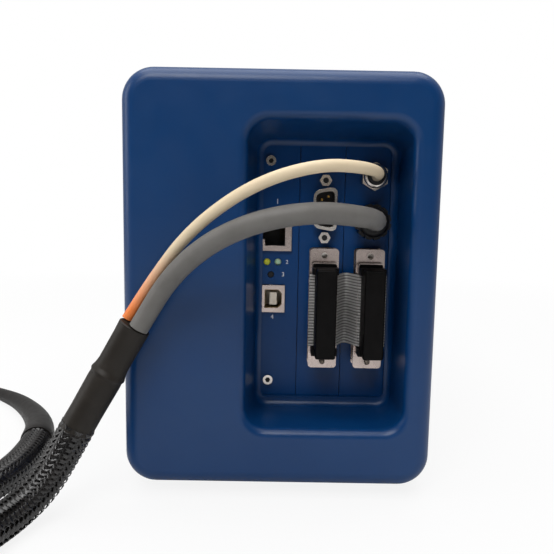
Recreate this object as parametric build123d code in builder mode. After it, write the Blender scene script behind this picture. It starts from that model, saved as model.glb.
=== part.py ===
from build123d import *
import math
import os

# Potentiostat with a moulded front bezel, a card cage and its cell cable.
# Millimetres. +X is right seen from the front, +Y is towards the back, +Z is up.
# The origin is on the table under the middle of the case.

# Case
total_depth = 300.0
bezel_width = 127.0
bezel_height = 169.0
bezel_depth = 34.0
bezel_wall = 2.5
bezel_corner = 13.0
bezel_edge_radius = 6.0
bezel_bottom = 5.0
chassis_inset = 3.0
sheet = 1.2
seat_gap = 0.1
flange_length = 16.0
bend_radius = 1.0
case_corner = 5.0

# Recess in the bezel: its mouth on the front face, its foot round the floor, and the window in that
recess_depth = 32.0
recess_floor_thick = 2.0
window_width = 58.3
window_height = 114.1
window_x = 19.35
window_z = 91.35
window_corner = 3.5
# How far the foot and the mouth stand outside the window: left, right, low and high
foot_margins = (0.8, 2.7, 4.0, 1.2)
mouth_margins = (4.2, 3.1, 5.0, 6.2)
recess_foot_corner = 6.5
recess_foot_radius = 3.0
recess_mouth_corner = 9.0
recess_lip_radius = 3.6
tub_wall = 2.5

# Panels of the three slots
panel_gap = 0.3
panel_thick = 2.0
panel_height = 118.0
slot_pitch = 20.0
last_slot_width = 22.0
first_slot_x = -11.8
seam_gap = 0.3
slot_rib = 2.0

# Screws and bosses
screw_radius = 1.5
screw_head_radius = 2.8
screw_head_height = 1.9
screw_length = 7.0
hole_clearance = 0.2
boss_radius = 4.0
boss_inset = 12.0
captive_x = -4.75
captive_head_radius = 2.2
captive_head_height = 1.4
captive_z = (140.6, 41.5)
captive_shank_radius = 1.25

# Controller panel
jack_x = -1.8
jack_z = 108.8
jack_width = 13.4
jack_height = 16.0
jack_length = 16.0
jack_opening_x = -2.45
jack_opening_z = 108.9
jack_opening_width = 9.1
jack_opening_height = 11.6
jack_latch_width = 1.3
jack_latch_height = 6.0
jack_contacts = 8
jack_contact_pitch = 1.02
data_x = -2.9
data_z = 79.15
data_width = 10.4
data_height = 12.4
data_length = 16.0
data_opening_width = 7.8
data_opening_height = 8.45
data_corner = 1.7
metal_wall = 0.4
fit_gap = 0.1
led_z = 95.75
led_x = (-5.9, -1.0)
led_radius = 1.5
led_proud = 0.6
led_block_height = 5.5
led_block_depth = 4.6
reset_x = -4.1
reset_z = 90.0
reset_hole_radius = 1.5
reset_plunger_radius = 1.2
reset_travel = 0.5

# Serial port, nine pins, on the auxiliary panel
connector_x = (19.3, 39.3)
serial_z = 119.76
serial_inner_length = 16.9
serial_inner_width = 8.4
serial_shell_proud = 4.3
serial_flange_length = 30.8
serial_flange_width = 12.5
jackscrew_spread = 24.99
jackscrew_radius = 2.7
jackscrew_length = 5.0
pin_radius = 0.5
pin_pitch = 2.77

# Link sockets and the ribbon jumper between them
link_z = 76.16
link_flange_length = 53.04
link_flange_width = 12.5
link_hole_spread = 47.04
link_shell_length = 38.38
link_shell_width = 7.9
link_shell_proud = 6.0
link_play = 0.46
plug_box_length = 41.5
plug_box_width = 11.2
plug_box_height = 3.5
plug_cover_length = 37.7
plug_cover_width = 8.6
plug_cover_height = 11.9
cover_end_width = 11.0
ribbon_width = 31.75
ribbon_thick = 0.9
ribbon_stub = 2.3
ribbon_dip = 8.0
eyelet_radius = 1.85
d_slant = 10.0
d_corner = 2.2

# Cable glands on the channel panel
hex_gland_x = 40.3
hex_gland_z = 134.2
hex_gland_across = 12.4
hex_gland_turn = 30.0
hex_gland_thread = 4.0
round_gland_x = 40.0
round_gland_z = 114.6
round_gland_radius = 7.8
round_gland_thread = 6.0

# Boards, rails and supply
board_thick = 1.6
board_length = 164.0
board_start = 36.4
board_x = (-10.2, 9.9, 29.9)
guide_height = 7.0
guide_width = 6.0
guide_length = 130.0
guide_start = 56.0
groove_depth = 3.0
groove_play = 0.1
backplane_width = 76.0
backplane_height = 132.0
backplane_x = 19.0
supply_width = 40.0
supply_height = 96.0
supply_start = 74.0
supply_rear_gap = 36.0

# Back of the case
fan_size = 60.0
fan_depth = 20.0
fan_x = 18.0
fan_z = 120.0
fan_hole_spread = 50.0
fan_hub_radius = 13.0
fan_blade_radius = 27.0
fan_duct_radius = 28.5
fan_blades = 7
fan_shaft_radius = 1.5
shaft_play = 0.05
inlet_x = -36.0
inlet_z = 50.0
inlet_width = 27.0
inlet_height = 56.0
inlet_body_depth = 28.0
inlet_flange = 2.5
inlet_flange_margin = 3.0
socket_width = 24.5
socket_height = 17.0
socket_depth = 17.0
socket_z = 34.5
drawer_width = 24.0
drawer_height = 7.4
drawer_depth = 12.0
drawer_z = 51.3
drawer_play = 0.1
fuse_radius = 2.6
fuse_length = 20.0
rocker_width = 19.0
rocker_radius = 6.8
rocker_z = 66.5
rocker_tilt = 12.0
rocker_play = 0.2
terminal_x = -5.0
terminal_z = 40.0
terminal_reach = 12.0
terminal_bore = 2.0

# Cables
grey_diameter = 7.8
beige_diameter = 4.5
sleeve_diameter = 13.2
braid_diameter = 14.0
lead_diameter = 2.2
coil_radius = 70.0
coil_x = -189.5
coil_y = -128.0

# Worked out from the sizes above
front_y = -total_depth / 2
middle_z = bezel_bottom + bezel_height / 2
chassis_width = bezel_width - 2 * chassis_inset
chassis_height = bezel_height - 2 * chassis_inset
foot_height = bezel_bottom + chassis_inset
chassis_bottom = foot_height
chassis_top = chassis_bottom + chassis_height
recess_floor = recess_depth - recess_floor_thick
floor_z = chassis_bottom + sheet
roof_z = chassis_top - sheet
panel_depth = recess_depth + panel_gap
panel_back = panel_depth + panel_thick
frame_depth = panel_back
frame_back = frame_depth + sheet
slot_edges = (
    first_slot_x,
    first_slot_x + slot_pitch,
    first_slot_x + 2 * slot_pitch,
    first_slot_x + 2 * slot_pitch + last_slot_width,
)
rear_face = total_depth - terminal_reach
rear_inside = rear_face - sheet
tray_front = frame_depth
tray_length = rear_face - tray_front
inner_half = chassis_width / 2 - sheet
supply_length = rear_face - inlet_body_depth - supply_rear_gap - supply_start


def facing_front(depth, x=0.0, z=0.0):
    """A plane seen from the front, that many millimetres behind the bezel's face."""
    return Plane(origin=(x, front_y + depth, z), x_dir=(1, 0, 0), z_dir=(0, -1, 0))


def facing_rear(depth, x=0.0, z=0.0):
    """A plane seen from behind, at the same kind of depth."""
    return Plane(origin=(x, front_y + depth, z), x_dir=(-1, 0, 0), z_dir=(0, 1, 0))


def turned_plane(x, depth, z, angle):
    """A plane across X whose own x axis points back and is turned up by an angle."""
    turn = math.radians(angle)
    return Plane(
        origin=(x, front_y + depth, z),
        x_dir=(0, math.cos(turn), math.sin(turn)),
        z_dir=(1, 0, 0),
    )


def in_front(x, depth, z):
    """A point by its depth behind the bezel's face."""
    return (x, front_y + depth, z)


def d_outline(length, width, corner, mode=Mode.ADD):
    """The D of a connector standing upright, with its long side on the right."""
    slant = width * math.tan(math.radians(d_slant))
    half = length / 2
    with BuildSketch(mode=Mode.PRIVATE) as outline:
        with BuildLine():
            Polyline(
                (width / 2, -half),
                (width / 2, half),
                (-width / 2, half - slant),
                (-width / 2, -half + slant),
                close=True,
            )
        make_face()
        fillet(outline.vertices(), corner)
    add(outline.sketch, mode=mode)


def save(node, name):
    """Label a finished node and write its file."""
    node.part.label = name
    export_step(node.part, f"parts/{name}.step")


os.makedirs("parts", exist_ok=True)

# Front bezel: a moulded cap with a drafted recess that is open to the panels


def around_window(depth, margins, wall=0.0):
    """The plane, width and height of a rectangle that clears the window by those margins."""
    left, right, low, high = [margin + wall for margin in margins]
    plane = facing_front(depth, x=window_x + (right - left) / 2, z=window_z + (high - low) / 2)
    return plane, window_width + left + right, window_height + low + high


mouth_outside, mouth_outside_width, mouth_outside_height = around_window(
    bezel_wall / 2, mouth_margins, tub_wall
)
foot_outside, foot_outside_width, foot_outside_height = around_window(
    recess_depth, foot_margins, tub_wall
)
mouth, mouth_width, mouth_height = around_window(0, mouth_margins)
foot, foot_width, foot_tall = around_window(recess_floor, foot_margins)

with BuildPart() as front_bezel:
    with BuildSketch(facing_front(0, z=middle_z)):
        RectangleRounded(bezel_width, bezel_height, bezel_corner)
    extrude(amount=-bezel_depth)
    fillet(front_bezel.faces().sort_by(Axis.Y)[0].edges(), bezel_edge_radius)
    with BuildSketch(facing_front(bezel_wall, z=middle_z)):
        RectangleRounded(
            bezel_width - 2 * bezel_wall,
            bezel_height - 2 * bezel_wall,
            bezel_corner - bezel_wall,
        )
    extrude(amount=-bezel_depth, mode=Mode.SUBTRACT)
    # The tub's outside, drafted like its inside
    with BuildSketch(mouth_outside):
        RectangleRounded(mouth_outside_width, mouth_outside_height, recess_mouth_corner + tub_wall)
    with BuildSketch(foot_outside):
        RectangleRounded(foot_outside_width, foot_outside_height, recess_foot_corner + tub_wall)
    loft()
    with BuildSketch(mouth):
        RectangleRounded(mouth_width, mouth_height, recess_mouth_corner)
    with BuildSketch(foot):
        RectangleRounded(foot_width, foot_tall, recess_foot_corner)
    loft(mode=Mode.SUBTRACT)
    lip = front_bezel.faces().sort_by(Axis.Y)[0].inner_wires()[0].edges()
    fillet(lip, recess_lip_radius)
    floor_y = front_y + recess_floor
    foot_edges = front_bezel.edges().filter_by_position(Axis.Y, floor_y - 0.01, floor_y + 0.01)
    fillet(foot_edges, recess_foot_radius)
    with BuildSketch(facing_front(recess_floor, x=window_x, z=window_z)):
        RectangleRounded(window_width, window_height, window_corner)
    extrude(amount=-recess_floor_thick, mode=Mode.SUBTRACT)
    # Four screw bosses reach back to the frame
    with BuildSketch(facing_front(bezel_wall, z=middle_z)):
        with GridLocations(bezel_width - 2 * boss_inset, bezel_height - 2 * boss_inset, 2, 2):
            Circle(boss_radius)
    extrude(amount=-(frame_depth - bezel_wall))
    with BuildSketch(facing_front(frame_depth, z=middle_z)):
        with GridLocations(bezel_width - 2 * boss_inset, bezel_height - 2 * boss_inset, 2, 2):
            Circle(screw_radius)
    extrude(amount=screw_length, mode=Mode.SUBTRACT)
save(front_bezel, "front_bezel")

# Front frame: a folded plate behind the panels, with one window for each slot

frame_width = 2 * (inner_half - seat_gap)
frame_height = roof_z - floor_z - 2 * seat_gap
frame_z = (roof_z + floor_z) / 2
frame_corner = case_corner - sheet - seat_gap
tall_window_z = (41.0, 142.5)
short_window_z = (46.5, 135.6)

with BuildPart() as front_frame:
    with BuildSketch(facing_front(frame_depth, z=frame_z)):
        RectangleRounded(frame_width, frame_height, frame_corner)
    extrude(amount=-flange_length)
    with BuildSketch(facing_front(frame_back, z=frame_z)):
        RectangleRounded(frame_width - 2 * sheet, frame_height - 2 * sheet, frame_corner - sheet)
    extrude(amount=-flange_length, mode=Mode.SUBTRACT)
    for number in range(3):
        low, high = short_window_z if number == 0 else tall_window_z
        left = slot_edges[number] + slot_rib
        right = slot_edges[number + 1] - slot_rib
        with BuildSketch(facing_front(frame_depth, x=(left + right) / 2, z=(low + high) / 2)):
            RectangleRounded(right - left, high - low, bend_radius)
        extrude(amount=-sheet, mode=Mode.SUBTRACT)
    with BuildSketch(facing_front(frame_depth, z=middle_z)):
        with GridLocations(bezel_width - 2 * boss_inset, bezel_height - 2 * boss_inset, 2, 2):
            Circle(screw_radius + hole_clearance)
    extrude(amount=-sheet, mode=Mode.SUBTRACT)
    with BuildSketch(facing_front(frame_depth)):
        with Locations(*[(captive_x, z) for z in captive_z]):
            Circle(captive_shank_radius + shaft_play)
    extrude(amount=-sheet, mode=Mode.SUBTRACT)
    # A tapped hole in each side flange
    side_screw_z = 30.0
    front_screw_depth = frame_depth + flange_length - 4.0
    with BuildSketch(Plane.YZ):
        with Locations((front_y + front_screw_depth, side_screw_z)):
            Circle(screw_radius + shaft_play)
    extrude(amount=chassis_width, both=True, mode=Mode.SUBTRACT)
save(front_frame, "front_frame")

# Chassis tray: floor and sides folded from one sheet

rear_screw_depth = rear_inside - flange_length + 4.0
cover_screw_depths = (90.0, 240.0)
cover_screw_z = roof_z - 10.0
side_screws = (
    (front_screw_depth, side_screw_z),
    (rear_screw_depth, side_screw_z),
    (cover_screw_depths[0], cover_screw_z),
    (cover_screw_depths[1], cover_screw_z),
)
tray_height = chassis_height - case_corner - seat_gap
foot_x = 46.0
foot_depths = (62.0, 264.0)
vent_count = 9
vent_pitch = 8.0
vent_length = 40.0
vent_width = 3.0
vent_middle = 160.0
vent_z = 78.0

with BuildPart() as chassis_tray:
    with BuildSketch(facing_front(tray_front, z=chassis_bottom)):
        Rectangle(chassis_width, tray_height, align=(Align.CENTER, Align.MIN))
    extrude(amount=-tray_length)
    fillet(chassis_tray.edges().filter_by(Axis.Y).group_by(Axis.Z)[0], case_corner)
    with BuildSketch(facing_front(tray_front, z=floor_z)):
        hollow = Rectangle(chassis_width - 2 * sheet, chassis_height, align=(Align.CENTER, Align.MIN))
        fillet(hollow.vertices().group_by(Axis.Y)[0], case_corner - sheet)
    extrude(amount=-tray_length, mode=Mode.SUBTRACT)
    with BuildSketch(Plane.YZ):
        with Locations(*[(front_y + depth, z) for depth, z in side_screws]):
            Circle(screw_radius + hole_clearance)
        with Locations((front_y + vent_middle, vent_z)):
            with GridLocations(vent_pitch, 1, vent_count, 1):
                SlotOverall(vent_length, vent_width, rotation=90)
    extrude(amount=chassis_width, both=True, mode=Mode.SUBTRACT)
    with BuildSketch(Plane.XY.offset(chassis_bottom)):
        for depth in foot_depths:
            with Locations((-foot_x, front_y + depth), (foot_x, front_y + depth)):
                Circle(screw_radius + hole_clearance)
    extrude(amount=sheet, mode=Mode.SUBTRACT)
save(chassis_tray, "chassis_tray")

# Top cover: a lid with rounded sides and flanges that drop inside the tray

cover_flange_start = frame_depth + flange_length + 1.0
cover_flange_end = rear_inside - flange_length - 1.0
cover_flange_length = cover_flange_end - cover_flange_start
cover_flange_x = inner_half - seat_gap - sheet / 2

with BuildPart() as top_cover:
    with BuildSketch(facing_front(tray_front, z=chassis_top)):
        lid = Rectangle(chassis_width, case_corner, align=(Align.CENTER, Align.MAX))
        fillet(lid.vertices().group_by(Axis.Y)[-1], case_corner - 0.01)
    extrude(amount=-tray_length)
    with BuildSketch(facing_front(tray_front, z=roof_z)):
        under = Rectangle(chassis_width - 2 * sheet, case_corner, align=(Align.CENTER, Align.MAX))
        fillet(under.vertices().group_by(Axis.Y)[-1], case_corner - sheet)
    extrude(amount=-tray_length, mode=Mode.SUBTRACT)
    with BuildSketch(Plane.XY.offset(roof_z - sheet)):
        for side in (-1, 1):
            with Locations((side * cover_flange_x, front_y + cover_flange_start)):
                Rectangle(sheet, cover_flange_length, align=(Align.CENTER, Align.MIN))
    extrude(amount=-flange_length)
    with BuildSketch(Plane.YZ):
        with Locations(*[(front_y + depth, cover_screw_z) for depth in cover_screw_depths]):
            Circle(screw_radius + shaft_play)
    extrude(amount=chassis_width, both=True, mode=Mode.SUBTRACT)
save(top_cover, "top_cover")

# Rear panel with the fan's guard, the inlet's cut-out and the earth terminal's hole

guard_rings = ((23.0, 27.0), (16.5, 20.5), (10.0, 14.0))
guard_spoke = 3.0
inlet_hole_margin = 0.2
terminal_hole_radius = 4.0

with BuildPart() as rear_panel:
    with BuildSketch(facing_rear(rear_face, z=frame_z)):
        RectangleRounded(frame_width, frame_height, frame_corner)
    extrude(amount=-flange_length)
    with BuildSketch(facing_rear(rear_inside, z=frame_z)):
        RectangleRounded(frame_width - 2 * sheet, frame_height - 2 * sheet, frame_corner - sheet)
    extrude(amount=-flange_length, mode=Mode.SUBTRACT)
    with BuildSketch(facing_rear(rear_face, x=fan_x, z=fan_z)):
        for inner, outer in guard_rings:
            Circle(outer)
            Circle(inner, mode=Mode.SUBTRACT)
        Rectangle(guard_spoke, fan_size, rotation=45, mode=Mode.SUBTRACT)
        Rectangle(guard_spoke, fan_size, rotation=-45, mode=Mode.SUBTRACT)
        with GridLocations(fan_hole_spread, fan_hole_spread, 2, 2):
            Circle(screw_radius + hole_clearance)
    extrude(amount=-sheet, mode=Mode.SUBTRACT)
    with BuildSketch(facing_rear(rear_face, x=inlet_x, z=inlet_z)):
        Rectangle(inlet_width + 2 * inlet_hole_margin, inlet_height + 2 * inlet_hole_margin)
    extrude(amount=-sheet, mode=Mode.SUBTRACT)
    with BuildSketch(facing_rear(rear_face, x=terminal_x, z=terminal_z)):
        Circle(terminal_hole_radius + hole_clearance)
    extrude(amount=-sheet, mode=Mode.SUBTRACT)
    with BuildSketch(Plane.YZ):
        with Locations((front_y + rear_screw_depth, side_screw_z)):
            Circle(screw_radius + shaft_play)
    extrude(amount=chassis_width, both=True, mode=Mode.SUBTRACT)
save(rear_panel, "rear_panel")

# Rubber feet with a plug that presses into the tray's holes

foot_radius = 8.0
foot_taper = 1.2

with BuildPart() as rubber_feet:
    for depth in foot_depths:
        for side in (-1, 1):
            foot_plane = Plane(origin=(side * foot_x, front_y + depth, 0))
            with BuildSketch(foot_plane):
                Circle(foot_radius - foot_taper)
            with BuildSketch(foot_plane.offset(foot_height)):
                Circle(foot_radius)
            loft()
            with BuildSketch(foot_plane.offset(foot_height)):
                Circle(screw_radius)
            extrude(amount=sheet)
save(rubber_feet, "rubber_feet")

# Screws: the bezel's from behind the frame, the sides', and the fan's

with BuildPart() as screw:
    with BuildSketch():
        Circle(screw_head_radius)
    with BuildSketch(Plane.XY.offset(screw_head_height)):
        Circle(screw_head_radius * 0.7)
    loft()
    with BuildSketch():
        Circle(screw_radius)
    extrude(amount=-screw_length)

bezel_screw_seats = [
    facing_rear(
        frame_back,
        x=side * (bezel_width / 2 - boss_inset),
        z=middle_z + end * (bezel_height / 2 - boss_inset),
    )
    for side in (-1, 1)
    for end in (-1, 1)
]
side_screw_seats = [
    Plane(origin=in_front(side * chassis_width / 2, depth, z), x_dir=(0, 1, 0), z_dir=(side, 0, 0))
    for side in (-1, 1)
    for depth, z in side_screws
]
fan_screw_seats = [
    facing_rear(
        rear_face,
        x=fan_x + side * fan_hole_spread / 2,
        z=fan_z + end * fan_hole_spread / 2,
    )
    for side in (-1, 1)
    for end in (-1, 1)
]

with BuildPart() as case_screws:
    with Locations(*[Location(seat) for seat in bezel_screw_seats + side_screw_seats + fan_screw_seats]):
        add(screw.part)
save(case_screws, "case_screws")

# Slot panels

def blank_panel(number):
    """One blank panel, as wide as its slot less half a seam on each side."""
    left = slot_edges[number] + seam_gap / 2
    right = slot_edges[number + 1] - seam_gap / 2
    with BuildPart() as blank:
        with BuildSketch(facing_front(panel_depth, x=(left + right) / 2, z=window_z)):
            Rectangle(right - left, panel_height)
        extrude(amount=-panel_thick)
    return blank.part


controller_blank, auxiliary_blank, channel_blank = [blank_panel(number) for number in range(3)]
jack_hole_gap = 0.15
led_hole_radius = led_radius + 0.1

with BuildPart() as controller_panel:
    add(controller_blank)
    with BuildSketch(facing_front(panel_depth)):
        with Locations((jack_x, jack_z)):
            Rectangle(jack_width + 2 * jack_hole_gap, jack_height + 2 * jack_hole_gap)
        with Locations((data_x, data_z)):
            Rectangle(data_width + 2 * jack_hole_gap, data_height + 2 * jack_hole_gap)
        with Locations(*[(x, led_z) for x in led_x]):
            Circle(led_hole_radius)
        with Locations((reset_x, reset_z)):
            Circle(reset_hole_radius)
        with Locations(*[(captive_x, z) for z in captive_z]):
            Circle(captive_shank_radius + hole_clearance)
    extrude(amount=-panel_thick, mode=Mode.SUBTRACT)
save(controller_panel, "controller_panel")

link_hole_length = link_shell_length + 1.0
link_hole_width = link_shell_width + 1.0
jackscrew_hole_radius = 1.6

with BuildPart() as auxiliary_panel:
    add(auxiliary_blank)
    with BuildSketch(facing_front(panel_depth, x=connector_x[0], z=serial_z)):
        d_outline(
            serial_inner_length + 2 * metal_wall + 2 * jack_hole_gap,
            serial_inner_width + 2 * metal_wall + 2 * jack_hole_gap,
            d_corner,
        )
        with Locations((0, jackscrew_spread / 2), (0, -jackscrew_spread / 2)):
            Circle(jackscrew_hole_radius)
    extrude(amount=-panel_thick, mode=Mode.SUBTRACT)
    with BuildSketch(facing_front(panel_depth, x=connector_x[0], z=link_z)):
        Rectangle(link_hole_width, link_hole_length)
        with Locations((0, link_hole_spread / 2), (0, -link_hole_spread / 2)):
            Circle(jackscrew_hole_radius)
    extrude(amount=-panel_thick, mode=Mode.SUBTRACT)
save(auxiliary_panel, "auxiliary_panel")

with BuildPart() as channel_panel:
    add(channel_blank)
    with BuildSketch(facing_front(panel_depth, x=connector_x[1], z=link_z)):
        Rectangle(link_hole_width, link_hole_length)
        with Locations((0, link_hole_spread / 2), (0, -link_hole_spread / 2)):
            Circle(jackscrew_hole_radius)
    extrude(amount=-panel_thick, mode=Mode.SUBTRACT)
    with BuildSketch(facing_front(panel_depth)):
        with Locations((hex_gland_x, hex_gland_z)):
            Circle(hex_gland_thread + hole_clearance)
        with Locations((round_gland_x, round_gland_z)):
            Circle(round_gland_thread + hole_clearance)
    extrude(amount=-panel_thick, mode=Mode.SUBTRACT)
save(channel_panel, "channel_panel")

# Captive screws with a hexagon socket, threaded into the frame

captive_socket = 1.25

with BuildPart() as captive_screws:
    for z in captive_z:
        seat = facing_front(panel_depth, x=captive_x, z=z)
        with BuildSketch(seat):
            Circle(captive_head_radius)
        extrude(amount=captive_head_height)
        with BuildSketch(seat.offset(captive_head_height)):
            RegularPolygon(captive_socket, 6)
        extrude(amount=-(captive_head_height - 0.3), mode=Mode.SUBTRACT)
        with BuildSketch(seat):
            Circle(captive_shank_radius)
        extrude(amount=-(panel_thick + sheet + 1.0))
save(captive_screws, "captive_screws")

# Network jack: a metal shell round a moulded insert, open to the front

jack_front = panel_depth - 1.0

with BuildPart() as network_jack_shell:
    with BuildSketch(facing_front(jack_front, x=jack_x, z=jack_z)):
        Rectangle(jack_width, jack_height)
    extrude(amount=-jack_length)
    with BuildSketch(facing_front(jack_front, x=jack_x, z=jack_z)):
        Rectangle(jack_width - 2 * metal_wall, jack_height - 2 * metal_wall)
    extrude(amount=-(jack_length - metal_wall), mode=Mode.SUBTRACT)
save(network_jack_shell, "network_jack_shell")

jack_cavity_depth = 12.0
jack_latch_x = jack_opening_x - jack_opening_width / 2 - jack_latch_width / 2

with BuildPart() as network_jack_insert:
    with BuildSketch(facing_front(jack_front + 0.2, x=jack_x, z=jack_z)):
        Rectangle(jack_width - 2 * metal_wall - fit_gap, jack_height - 2 * metal_wall - fit_gap)
    extrude(amount=-(jack_length - metal_wall - 0.4))
    with BuildSketch(facing_front(jack_front)):
        with Locations((jack_opening_x, jack_opening_z)):
            Rectangle(jack_opening_width, jack_opening_height)
        with Locations((jack_latch_x, jack_opening_z)):
            Rectangle(jack_latch_width + fit_gap, jack_latch_height)
    extrude(amount=-jack_cavity_depth, mode=Mode.SUBTRACT)
save(network_jack_insert, "network_jack_insert")

contact_width = 0.45
contact_thick = 0.3
contact_reach = 6.0
contact_lift = 2.4
jack_right = jack_opening_x + jack_opening_width / 2

with BuildPart() as network_jack_contacts:
    for number in range(jack_contacts):
        z = jack_opening_z + (number - (jack_contacts - 1) / 2) * jack_contact_pitch
        start = front_y + jack_front + 2.0
        with BuildSketch(Plane.XY.offset(z - contact_width / 2)):
            Polygon(
                (jack_right, start),
                (jack_right, start + contact_thick),
                (jack_right - contact_lift, start + contact_reach + contact_thick),
                (jack_right - contact_lift, start + contact_reach),
                align=None,
            )
        extrude(amount=contact_width)
save(network_jack_contacts, "network_jack_contacts")

# Data socket: the square kind with two cut corners

with BuildPart() as data_socket_shell:
    with BuildSketch(facing_front(jack_front, x=data_x, z=data_z)):
        Rectangle(data_width, data_height)
    extrude(amount=-data_length)
    with BuildSketch(facing_front(jack_front, x=data_x, z=data_z)):
        Rectangle(data_width - 2 * metal_wall, data_height - 2 * metal_wall)
    extrude(amount=-(data_length - metal_wall), mode=Mode.SUBTRACT)
save(data_socket_shell, "data_socket_shell")

data_cavity_depth = 9.0
tongue_width = 3.2
tongue_height = 5.6

with BuildPart() as data_socket_insert:
    with BuildSketch(facing_front(jack_front + 0.2, x=data_x, z=data_z)):
        Rectangle(data_width - 2 * metal_wall - fit_gap, data_height - 2 * metal_wall - fit_gap)
    extrude(amount=-(data_length - metal_wall - 0.4))
    with BuildSketch(facing_front(jack_front, x=data_x, z=data_z)):
        opening = Rectangle(data_opening_width, data_opening_height)
        chamfer(opening.vertices().group_by(Axis.X)[-1], data_corner)
    extrude(amount=-data_cavity_depth, mode=Mode.SUBTRACT)
    with BuildSketch(facing_front(jack_front + data_cavity_depth, x=data_x, z=data_z)):
        Rectangle(tongue_width, tongue_height)
    extrude(amount=data_cavity_depth - 0.8)
save(data_socket_insert, "data_socket_insert")

# Status lights in a right-angle holder on the board

led_block_front = panel_back + 0.3
board_face_x = board_x[0] + board_thick
led_block_right = led_x[1] + led_radius + 0.9

with BuildPart() as led_holder:
    with BuildSketch(
        facing_front(led_block_front, x=(board_face_x + led_block_right) / 2, z=led_z)
    ):
        Rectangle(led_block_right - board_face_x, led_block_height)
    extrude(amount=-led_block_depth)
    with BuildSketch(facing_front(led_block_front)):
        with Locations(*[(x, led_z) for x in led_x]):
            Circle(led_radius + shaft_play)
    extrude(amount=-(led_block_depth - 1.0), mode=Mode.SUBTRACT)
save(led_holder, "led_holder")


def status_led(x):
    """A lamp with a domed end that stands a little proud of the panel."""
    back = led_block_front + led_block_depth - 1.0
    with BuildPart() as led:
        with BuildSketch(facing_front(back, x=x, z=led_z)):
            Circle(led_radius)
        extrude(amount=back - panel_depth + led_proud)
        fillet(led.faces().sort_by(Axis.Y)[0].edges(), led_radius * 0.8)
    return led


save(status_led(led_x[0]), "status_led_yellow")
save(status_led(led_x[1]), "status_led_green")

# Reset button behind its hole, and the switch that it presses

switch_front = panel_back + 3.2
switch_depth = 4.0
switch_height = 5.0
switch_right = reset_x + 3.2
collar_radius = 1.9
collar_thick = 0.8
plunger_front = panel_depth + 0.8
plunger_end = switch_front + 2.0

with BuildPart() as reset_switch:
    with BuildSketch(
        facing_front(switch_front, x=(board_face_x + switch_right) / 2, z=reset_z)
    ):
        Rectangle(switch_right - board_face_x, switch_height)
    extrude(amount=-switch_depth)
    with BuildSketch(facing_front(switch_front, x=reset_x, z=reset_z)):
        Circle(reset_plunger_radius + shaft_play)
    extrude(amount=-(plunger_end - switch_front + reset_travel + 0.2), mode=Mode.SUBTRACT)
save(reset_switch, "reset_switch")

with BuildPart() as reset_button:
    with BuildSketch(facing_front(plunger_end, x=reset_x, z=reset_z)):
        Circle(reset_plunger_radius)
    extrude(amount=plunger_end - plunger_front)
    with BuildSketch(facing_front(switch_front - reset_travel - 0.3, x=reset_x, z=reset_z)):
        Circle(collar_radius)
    extrude(amount=collar_thick)
save(reset_button, "reset_button")

# Serial port: flange behind the panel, shell through it, nine pins

with BuildPart() as serial_port_shell:
    with BuildSketch(facing_front(panel_back, x=connector_x[0], z=serial_z)):
        Rectangle(serial_flange_width, serial_flange_length)
        with Locations((0, jackscrew_spread / 2), (0, -jackscrew_spread / 2)):
            Circle(jackscrew_hole_radius, mode=Mode.SUBTRACT)
    extrude(amount=-metal_wall * 2)
    with BuildSketch(facing_front(panel_depth - serial_shell_proud, x=connector_x[0], z=serial_z)):
        d_outline(
            serial_inner_length + 2 * metal_wall,
            serial_inner_width + 2 * metal_wall,
            d_corner + metal_wall,
        )
    extrude(until=Until.NEXT, dir=(0, 1, 0))
    with BuildSketch(facing_front(panel_depth - serial_shell_proud, x=connector_x[0], z=serial_z)):
        d_outline(serial_inner_length, serial_inner_width, d_corner)
    extrude(amount=-(serial_shell_proud + panel_thick + 2 * metal_wall), mode=Mode.SUBTRACT)
save(serial_port_shell, "serial_port_shell")

insert_front = panel_depth + 0.5
insert_back = panel_back + 8.0


def pin_places(count_left, count_right, row_gap):
    """Two staggered rows of pins standing upright, the longer row on the right."""
    rows = ((count_left, -row_gap / 2), (count_right, row_gap / 2))
    return [
        (x, (number - (count - 1) / 2) * pin_pitch)
        for count, x in rows
        for number in range(count)
    ]


serial_pins = pin_places(4, 5, 2.84)

with BuildPart() as serial_port_insert:
    with BuildSketch(facing_front(insert_front, x=connector_x[0], z=serial_z)):
        d_outline(serial_inner_length - fit_gap, serial_inner_width - fit_gap, d_corner)
        with Locations(*serial_pins):
            Circle(pin_radius + shaft_play, mode=Mode.SUBTRACT)
    extrude(amount=-(insert_back - insert_front))
save(serial_port_insert, "serial_port_insert")

with BuildPart() as serial_port_pins:
    with BuildSketch(facing_front(insert_back, x=connector_x[0], z=serial_z)):
        with Locations(*serial_pins):
            Circle(pin_radius)
    extrude(amount=insert_back - panel_depth + serial_shell_proud - 1.0)
save(serial_port_pins, "serial_port_pins")


def jackscrew(length, grip):
    """A hexagonal post with a tapped end on a threaded shank."""
    with BuildPart() as post:
        with BuildSketch():
            RegularPolygon(jackscrew_radius, 6)
        extrude(amount=length)
        with BuildSketch(Plane.XY.offset(length)):
            Circle(jackscrew_hole_radius - 0.35)
        extrude(amount=-(length - 1.0), mode=Mode.SUBTRACT)
        with BuildSketch():
            Circle(jackscrew_hole_radius - 0.15)
        extrude(amount=-grip)
    return post.part


# Link sockets and the two plugs of the ribbon jumper, made at x = 0 and then placed

link_flange_thick = 1.0
link_flange_front = panel_depth - link_flange_thick
plug_flange_back = link_flange_front - link_shell_proud - 0.3
plug_flange_front = plug_flange_back - link_flange_thick
plug_box_front = plug_flange_front - plug_box_height
ribbon_middle = plug_box_front - 0.15 - ribbon_thick / 2
cover_back = ribbon_middle - ribbon_thick / 2 - fit_gap / 2
cover_front = cover_back - plug_cover_height
tube_inner_length = link_shell_length + 2 * link_play
tube_inner_width = link_shell_width + 2 * link_play
tube_wall = 0.5
link_body_back = 9.0


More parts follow.
